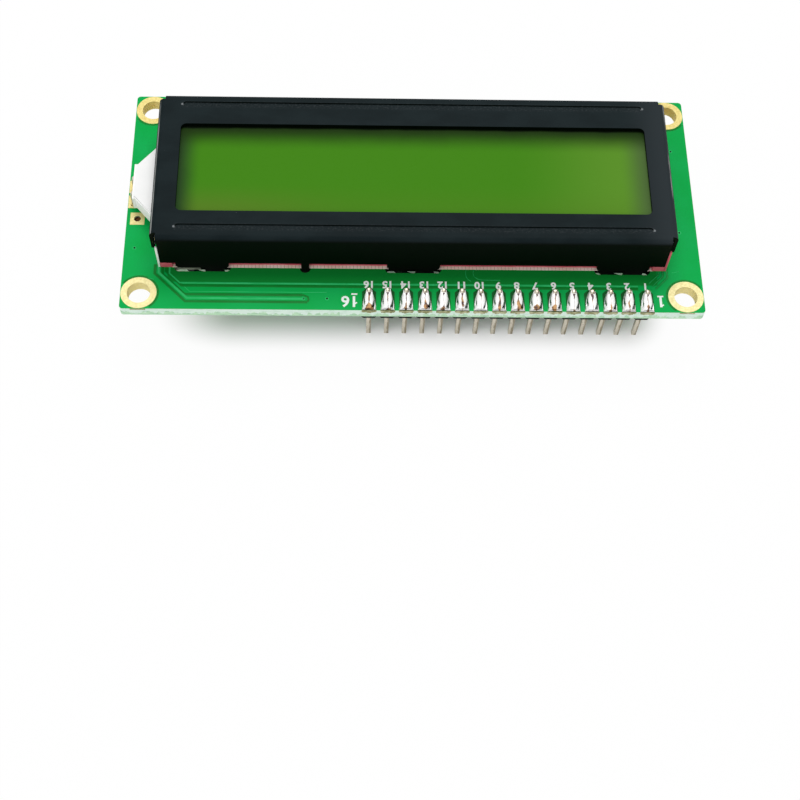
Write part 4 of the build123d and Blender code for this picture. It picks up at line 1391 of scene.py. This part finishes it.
@dataclass
class RearFace:
    """Rear of the board: copper, printing, small resistors, solder and the two resin domes."""

    shop: Workshop
    level: float = -1.6
    land_level: float = -1.65
    controller: Sequence[float] = (12.76, 0.46, 6.6, 1.7)
    driver: Sequence[float] = (-13.4, -0.35, 5.15, 1.5)
    dome_sides: int = 72
    dome_levels: int = 12
    dome_foot: float = 0.24
    dome_round: float = 0.985
    via_row: float = 12.6
    fan_pitch: float = 1.15
    fan_spread: float = 0.45
    fan_bend: float = 9.9
    fan_end: float = 5.2
    driver_fans: Sequence[tuple[float, int]] = ((-23.4, 6), (-12.7, 7))
    controller_fans: Sequence[tuple[float, int]] = ((5.5, 7), (17.2, 6))
    lead_width: float = 0.26
    lead_gap: float = 0.12
    lanes: Track = Track(
        ((-37.6, 6.4), (-37.6, 9.9), (-32.6, 14.9), (32.6, 14.9), (37.6, 9.9), (37.6, -8.5)),
        0.6, 0.17, 3, 0.95)
    tracks: Sequence[Track] = (
        Track(((9.0, -14.3), (9.0, -9.4), (10.6, -7.8), (10.6, -6.3)), 0.32, 0.14, 7, 1.05),
        Track(((19.8, -14.3), (19.8, -9.6), (17.4, -7.2), (16.6, -6.4)), 0.32, 0.14, 5, 1.05),
        Track(((-7.4, -1.0), (-2.5, -1.0), (-0.7, 0.8), (6.0, 0.8)), 0.26, 0.12, 9, 0.66),
        Track(((-6.9, -14.3), (-6.9, -8.9), (-10.2, -5.6)), 0.32, 0.14, 3, 0.95),
        Track(((-18.7, -1.2), (-21.6, -1.2), (-23.0, -2.6), (-23.0, -9.4)), 0.28, 0.12, 4, 0.72),
        Track(((-34.7, -9.2), (-34.7, 8.8)), 0.9, 0.18),
        Track(((-21.6, -14.3), (-21.6, -13.9)), 0.6, 0.16),
        Track(((-30.0, -15.8), (-12.0, -15.8)), 0.6, 0.16))
    test_vias: Sequence[Point] = (
        (-33.3, 4.6), (-24.6, -9.0), (26.8, -7.6), (4.9, -7.2), (24.2, 9.9))
    chip_rings: Sequence[tuple[Point, float]] = (((-12.97, -0.35), 5.75), ((12.9, 0.46), 6.95))
    column_x: float = 31.25
    column_first: float = -5.1
    column_pitch: float = 2.34
    column_count: int = 6
    column_frame: Sequence[float] = (28.75, -6.3, 33.8, 8.0)
    column_numbers: float = 27.6
    pair_frame: Sequence[float] = (20.1, 2.8, 24.9, 7.8)
    pair_middle: float = 5.3
    pair_place: Point = (22.47, 4.2)
    regulator_frame: Sequence[float] = (-30.65, -4.04, -27.6, 1.2)
    capacitors: Sequence[Point] = ((-29.4, 2.95), (-29.45, 6.55))
    large_place: Point = (-19.7, -12.8)
    bracket: Size = (3.2, 1.5, 2.1)
    thin: float = 0.14
    labels: Sequence[tuple[str, Point, float, float]] = (
        ("7", (22.5, 8.8), 1.2, 0.02), ("8", (-24.3, -12.8), 1.5, 0.02),
        ("16", (-9.8, -15.5), 1.9, 0.02), ("1", (35.0, -13.2), 1.9, 0.02),
        ("-", (-38.5, -5.6), 1.9, 0.04), ("+", (-38.5, 7.0), 1.9, 0.04))
    jumper_row: float = -5.45
    jumpers: Sequence[float] = (-31.7, -29.25, -26.8)
    terminal_x: float = -39.2
    terminal_rows: Sequence[float] = (-0.62, 1.92)
    plug_place: Point = (-38.5, -3.45)
    plug: Sequence[Point] = ((0, -1.66), (0.47, -1.66), (0.47, -0.3), (0.2, -0.22), (0, -0.3))
    chip_size: Size = (2.06, 1.3, 0.58)
    large_size: Size = (3.26, 1.66, 0.63)
    cap_length: float = 0.42
    code_ink: float = 0.02
    heap_levels: int = 5
    heap_sides: int = 18

    def column(self) -> list[float]:
        """Gives the Y of each resistor in the column."""
        return [self.column_first + self.column_pitch * number
                for number in range(self.column_count)]

    def fan(self, copper: Copper, first: float, count: int, centre: float) -> None:
        """Leads a row of vias at the far edge to a chip, closer together there.

        Args:
            copper: the copper of this face.
            first: the X of the first via.
            count: how many there are.
            centre: the X of the chip's middle.
        """
        for x in [first + self.fan_pitch * number for number in range(count)]:
            step = (centre - x) * self.fan_spread
            path = ((x, self.via_row), (x, self.fan_bend), (x + step, self.fan_bend - abs(step)),
                    (x + step, self.fan_end))
            copper.lay(Track(path, self.lead_width, self.lead_gap))
            copper.drill([(x, self.via_row)], 0.9)

    def copper(self) -> None:
        """Lays the lanes round the edge, the rows of vias and the bundles between the chips."""
        copper = Copper(self.shop, Side.REAR, self.level)
        copper.lay(self.lanes)
        for chip, fans in ((self.driver, self.driver_fans),
                           (self.controller, self.controller_fans)):
            for first, count in fans:
                self.fan(copper, first, count, chip[0])
        copper.lay(*self.tracks)
        for y in self.column()[:4]:
            step = (self.controller[1] - y) * 0.5
            path = ((30.2, y), (26.4, y), (26.4 - abs(step), y + step), (19.6, y + step))
            copper.lay(Track(path, self.lead_width, self.lead_gap))
        for number in range(9):
            turn = math.radians(-62.0 + 15.5 * number)
            for x, y, radius, _ in (self.driver, self.controller):
                reach = radius + 1.9 + 0.5 * math.sin(number * 2.1)
                place = (x - reach * math.cos(turn), y + reach * math.sin(turn))
                copper.drill([place], 0.8)
        copper.drill(self.test_vias, 1.1, True)
        copper.build("rear")

    def outlines(self, ink: Printing) -> None:
        """Prints the frames of the empty and the filled places.

        Args:
            ink: the ink of this face.
        """
        ink.frame(*self.regulator_frame)
        ink.bar((-29.5, -3.5), (-28.7, -3.5))
        for number, (x, y) in enumerate(self.capacitors, start=1):
            ink.frame(x - 3.25, y - 1.6, x + 3.25, y + 1.6)
            ink.bar((x + 2.75, y - 1.5), (x + 2.75, y + 1.5), 0.5)
            ink.text("+", (x + 4.9, y), 1.7, 0.0, 0.03)
            ink.text(str(number), (x + 6.2, y), 1.2)
        ink.frame(*self.column_frame)
        left, _, right, _ = self.column_frame
        for y in self.column()[1:]:
            row = y - self.column_pitch / 2
            ink.bar((left, row), (right, row), self.thin)
        ink.frame(*self.pair_frame)
        left, _, right, _ = self.pair_frame
        ink.bar((left, self.pair_middle), (right, self.pair_middle), self.thin)
        x, y = self.large_place
        reach, half, arm = self.bracket
        for side in ENDS:
            back = x + side * reach
            low, high = (back, y - half), (back, y + half)
            ink.bar(low, high)
            for corner in (low, high):
                ink.bar(corner, (back - side * arm, corner[1]))

    def printing(self) -> None:
        """Prints the rings, the parts' outlines, their numbers and the polarity signs."""
        ink = Printing(self.shop, Side.REAR, self.level)
        for place, radius in self.chip_rings:
            ink.ring(place, radius)
        for number, x in enumerate(self.jumpers, start=1):
            ink.ring((x, self.jumper_row), 1.2, self.thin)
            ink.text(str(number), (x, -7.25), 0.8)
        self.outlines(ink)
        for number, y in enumerate(self.column(), start=1):
            ink.text(str(number), (self.column_numbers, y), 1.1)
        for words, place, height, bold in self.labels:
            ink.text(words, place, height, 0.0, bold)
        ink.build("rear_print")

    def resistor(self, number: int, place: Point, size: Size) -> None:
        """Makes one chip resistor: ceramic body, black glaze and tinned ends.

        Args:
            number: the resistor's number.
            place: its middle.
            size: its length, width and height.
        """
        mesh = bmesh.new()
        (x, y), (long, wide, high), cap = place, size, self.cap_length
        middle = self.land_level - high / 2
        box(mesh, (long - 0.12, wide - 0.04, high - 0.06), (x, y, middle + 0.01), 0.03)
        glaze = (x, y, middle - high / 2 + 0.035)
        box(mesh, (long - 2 * cap + 0.06, wide - 0.1, 0.05), glaze, 0.02, 1)
        for side in ENDS:
            box(mesh, (cap, wide, high), (x + side * (long - cap) / 2, y, middle), 0.06, 2)
        kinds = (Finish.CERAMIC, Finish.GLAZE, Finish.REAR_SOLDER)
        self.shop.piece(f"resistor_{number}", mesh, kinds, Slot.CHIP,
                        [f"chip_resistor_{number}"], 40)

    def heap(self, mesh: bmesh.types.BMesh, place: Point, size: Size) -> None:
        """Adds a heap of solder that hangs on a rear land.

        Args:
            mesh: where it is added.
            place: its middle.
            size: its width, length and height.
        """
        wide, long, high = size
        sections = []
        for number in range(self.heap_levels + 1):
            rise = number / self.heap_levels
            share = math.sqrt(1.0 - 0.93 * rise * rise)
            level = self.land_level - high * rise
            sections.append((*place, wide / 2 * share, long / 2 * share, level))
        stacked(mesh, sections, self.heap_sides)

    def resistors(self) -> None:
        """Makes all resistors with their codes and solder."""
        chips = [((self.column_x, y), self.chip_size, "222") for y in self.column()]
        chips[0] = (*chips[0][:2], "0")
        chips += [(self.pair_place, self.chip_size, "913"),
                  (self.large_place, self.large_size, "101")]
        solder = bmesh.new()
        codes = Printing(self.shop, Side.REAR, 0.0, self.code_ink)
        for number, (place, size, code) in enumerate(chips, start=1):
            self.resistor(number, place, size)
            long, wide, high = size
            codes.level = self.land_level - high + 0.008
            codes.text(code, place, wide * 0.52, 0.0, 0.04)
            for side in ENDS:
                spot = (place[0] + side * (long / 2 + 0.12), place[1])
                self.heap(solder, spot, (0.8, wide * 0.9, 0.36))
        codes.build("chip_codes")
        self.joints("chip_solder", solder, "chip_solder_joints")

    def joints(self, name: str, mesh: bmesh.types.BMesh, node: str) -> None:
        """Makes a piece of solder in place of a node."""
        self.shop.piece(name, mesh, Finish.REAR_SOLDER, Slot.SOLDER, [node], 50)

    def solder(self) -> None:
        """Makes the joints of the lamp's terminals, the closed jumper and the soldered pad."""
        mesh = bmesh.new()
        for y in self.terminal_rows:
            self.heap(mesh, (self.terminal_x, y), (1.4, 2.0, 0.9))
        self.joints("terminal_solder", mesh, "terminal_solder_joints")
        mesh = bmesh.new()
        self.heap(mesh, (self.jumpers[0], self.jumper_row), (1.9, 1.85, 0.48))
        self.joints("jumper_solder", mesh, "jumper_solder_bridge")
        mesh = bmesh.new()
        turned(mesh, self.plug, 20, (*self.plug_place, 0))
        self.heap(mesh, self.plug_place, (1.5, 1.6, 0.45))
        self.shop.piece("pad_plug", mesh, Finish.BURNT, Slot.SOLDER)

    def dome(self, name: str, node: str, sizes: Sequence[float]) -> None:
        """Makes one resin dome: a steep foot, a low crown and a slightly uneven outline.

        Args:
            name: the piece's name.
            node: the solid that it stands for.
            sizes: middle X and Y, radius and height.
        """
        x, y, radius, high = sizes
        profile = [(0.0, 0.0), (radius * self.dome_round, 0.0), (radius, -0.06)]
        for number in range(self.dome_levels + 1):
            turn = number / self.dome_levels * math.pi / 2
            height = self.dome_foot + (1.0 - self.dome_foot) * math.sin(turn) ** 0.9
            profile.append((radius * self.dome_round * math.cos(turn), -high * height))
        profile[-1] = (0.0, -high)
        mesh = bmesh.new()
        for vert in turned(mesh, profile, self.dome_sides):
            turn = math.atan2(vert.co.y, vert.co.x)
            outline = 0.009 * math.sin(3 * turn + radius) + 0.006 * math.sin(5 * turn + 2 * high)
            vert.co.x *= 0.988 - outline
            vert.co.y *= 0.988 - outline
            sag = math.sin(0.9 * vert.co.x + radius) * math.cos(0.8 * vert.co.y)
            vert.co.z *= 1.0 - 0.012 * (1.0 + sag)
        bmesh.ops.translate(mesh, verts=mesh.verts, vec=(x, y, self.level))
        self.shop.piece(name, mesh, Finish.RESIN, Slot.RESIN, [node], 60)

    def build(self) -> None:
        """Makes the rear of the board."""
        self.copper()
        self.printing()
        self.resistors()
        self.solder()
        self.dome("controller_resin", "controller_chip_dome", self.controller)
        self.dome("driver_resin", "driver_chip_dome", self.driver)


@dataclass
class Stage:
    """Pale floor, soft studio light, white surroundings and the camera."""

    floor_level: float = -10.16
    floor_size: float = 6000.0
    shaded: Sequence[Sequence[float]] = ((-24.5, 30.5, -12.9, 14.0), (-35.0, 35.0, -9.0, 12.0))
    fades: Sequence[Sequence[float]] = ((13.0, 7.0, 6.4, 6.4), (2.6, 2.6, 2.6, 5.0))
    white_share: Point = (0.05, 0.97)
    ambient: float = 0.5
    lamps: Sequence[tuple[str, Size, float, float]] = (
        ("key", (0.03, 0.26, 0.58), 0.4, 2.3), ("fill", (-0.25, -0.4, 0.4), 0.5, 0.8))
    lens: float = 63.435
    sensor: float = 36.0
    shift: Point = (0.00754, 0.04048)
    turn: Size = (2.691148, -0.001007, 0.038)
    offset: Size = (2.588016, -32.774382, 199.734609)

    def outside(self, sheet: Sheet, limits: Sequence[float], fades: Sequence[float]) -> Any:
        """Says how far a place on the floor lies outside a rectangle.

        Args:
            sheet: the floor's node sheet.
            limits: the rectangle's left, right, near and far sides in millimetres.
            fades: the distance at each side that counts as 1.

        Returns:
            The distance, 0 inside the rectangle.
        """
        parts = []
        for number, axis in enumerate(sheet.millimetres()[:2]):
            low, high = limits[2 * number:2 * number + 2]
            below = sheet.math("DIVIDE", sheet.math("SUBTRACT", low, axis), fades[2 * number])
            above = sheet.math("DIVIDE", sheet.math("SUBTRACT", axis, high), fades[2 * number + 1])
            parts.append(sheet.largest(below, above, 0.0))
        return sheet.diagonal(*parts)

    def paint_floor(self) -> bpy.types.Material:
        """Makes the floor white to look at, but for the module's shadow.

        Returns:
            The floor's material.
        """
        sheet = Sheet("pale_floor")
        pale = sheet.blend(sheet.noise(40.0), tint(246, 246, 245), tint(243, 243, 243))
        glow = sheet.node("ShaderNodeEmission", (1.0, 1.0, 1.0), 1.0)
        pairs = zip(self.shaded, self.fades)
        reach = sheet.math("MINIMUM", *[self.outside(sheet, *pair) for pair in pairs])
        share = sheet.times(sheet.seen(), sheet.span(reach, 0.0, 1.0, *self.white_share))
        mixed = sheet.node("ShaderNodeMixShader", share, sheet.shader.outputs[0], glow.outputs[0])
        output = next(node for node in sheet.tree.nodes if node.type == "OUTPUT_MATERIAL")
        sheet.feed(output.inputs["Surface"], mixed.outputs[0])
        return sheet.done(Base_Color=pale, Roughness=0.9, Specular_IOR_Level=0.0)

    def floor(self) -> None:
        """Lays a large pale floor at the tips of the pins."""
        mesh = bmesh.new()
        bmesh.ops.create_grid(mesh, x_segments=1, y_segments=1, size=self.floor_size / 2,
                              matrix=Matrix.Translation((0, 0, self.floor_level)))
        data = bpy.data.meshes.new("floor")
        mesh.to_mesh(data)
        mesh.free()
        data.transform(Matrix.Scale(MILLIMETRE, 4))
        data.materials.append(self.paint_floor())
        made = bpy.data.objects.new("floor", data)
        bpy.context.scene.collection.objects.link(made)

    def surroundings(self) -> None:
        """Sets a world that is white to look at and gives even light."""
        world = bpy.data.worlds.new("studio")
        world.use_nodes = True
        bpy.context.scene.world = world
        nodes = Nodes(world.node_tree)
        back = world.node_tree.nodes["Background"]
        nodes.feed(back.inputs["Color"], (1.0, 1.0, 1.0))
        level = nodes.span(nodes.seen(), 0.0, 1.0, self.ambient, 1.0)
        nodes.feed(back.inputs["Strength"], level)

    def lamp(self, name: str, place: Size, size: float, power: float) -> None:
        """Hangs a square soft lamp that points at the module.

        Args:
            name: the lamp's name.
            place: where it hangs, in metres.
            size: its side, in metres.
            power: its power in watts.
        """
        light = bpy.data.lights.new(name, "AREA")
        light.shape = "SQUARE"
        light.size = size
        light.energy = power
        made = bpy.data.objects.new(name, light)
        made.location = place
        made.rotation_euler = (-Vector(place)).to_track_quat("-Z", "Y").to_euler()
        bpy.context.scene.collection.objects.link(made)

    def camera(self) -> None:
        """Places the camera by its turn and its offset from the module."""
        axis = Vector(self.turn)
        looking = Matrix.Rotation(axis.length, 3, axis.normalized())
        place = -(looking.transposed() @ Vector(self.offset)) * MILLIMETRE
        flipped = Matrix.Diagonal((1.0, -1.0, -1.0)) @ looking
        data = bpy.data.cameras.new("camera")
        data.lens = self.lens
        data.sensor_width = self.sensor
        data.shift_x, data.shift_y = self.shift
        data.clip_start = 0.01
        made = bpy.data.objects.new("camera", data)
        made.matrix_world = Matrix.Translation(place) @ flipped.transposed().to_4x4()
        bpy.context.scene.collection.objects.link(made)
        bpy.context.scene.camera = made

    def build(self) -> None:
        """Sets the whole stage."""
        bpy.context.scene.view_settings.view_transform = "Standard"
        self.floor()
        self.surroundings()
        for lamp in self.lamps:
            self.lamp(*lamp)
        self.camera()


DRESSES: Sequence[tuple[Finish, Sequence[str]]] = (
    (Finish.BOARD, ("circuit_board",)),
    (Finish.GOLD, ("mounting_hole_platings", "tab_lands", "side_pads", "component_lands")),
    # The header lands take painted shade.
    (Finish.SHADOW, ("header_lands",)),
    (Finish.BEZEL, ("bezel",)),
    (Finish.FILM, ("front_polarizer",)),
    (Finish.REAR_FILM, ("rear_polarizer",)),
    (Finish.GLASS, ("front_glass", "rear_glass")),
    (Finish.RUBBER, ("elastomer_strip_*",)),
    (Finish.WHITE, ("backlight_frame",)),
    (Finish.SHEET, ("reflector_film", "diffuser_film")),
    (Finish.ACRYLIC, ("light_guide",)),
    (Finish.LAMP, ("backlight_lamp",)),
    (Finish.PIN, ("lamp_terminal_*", "header_pin_*")),
    (Finish.RESIN, ("controller_chip_dome", "driver_chip_dome")),
    (Finish.CERAMIC, ("chip_resistor_*",)),
    (Finish.REAR_SOLDER, ("chip_solder_joints", "jumper_solder_bridge", "terminal_solder_joints",
                          "header_solder_joints")),
    (Finish.BLACK, ("header_insulator",)),
)


def main() -> None:
    """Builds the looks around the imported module."""
    logging.basicConfig(level=logging.INFO, format="%(message)s")
    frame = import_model()
    shop = Workshop(frame["nodes"])
    Stage().build()
    for kind, names in DRESSES:
        shop.dress(kind, *names)
    board = Board(shop)
    board.build()
    Header(shop, board).build()
    RearFace(shop).build()


if __name__ == "__main__":
    main()
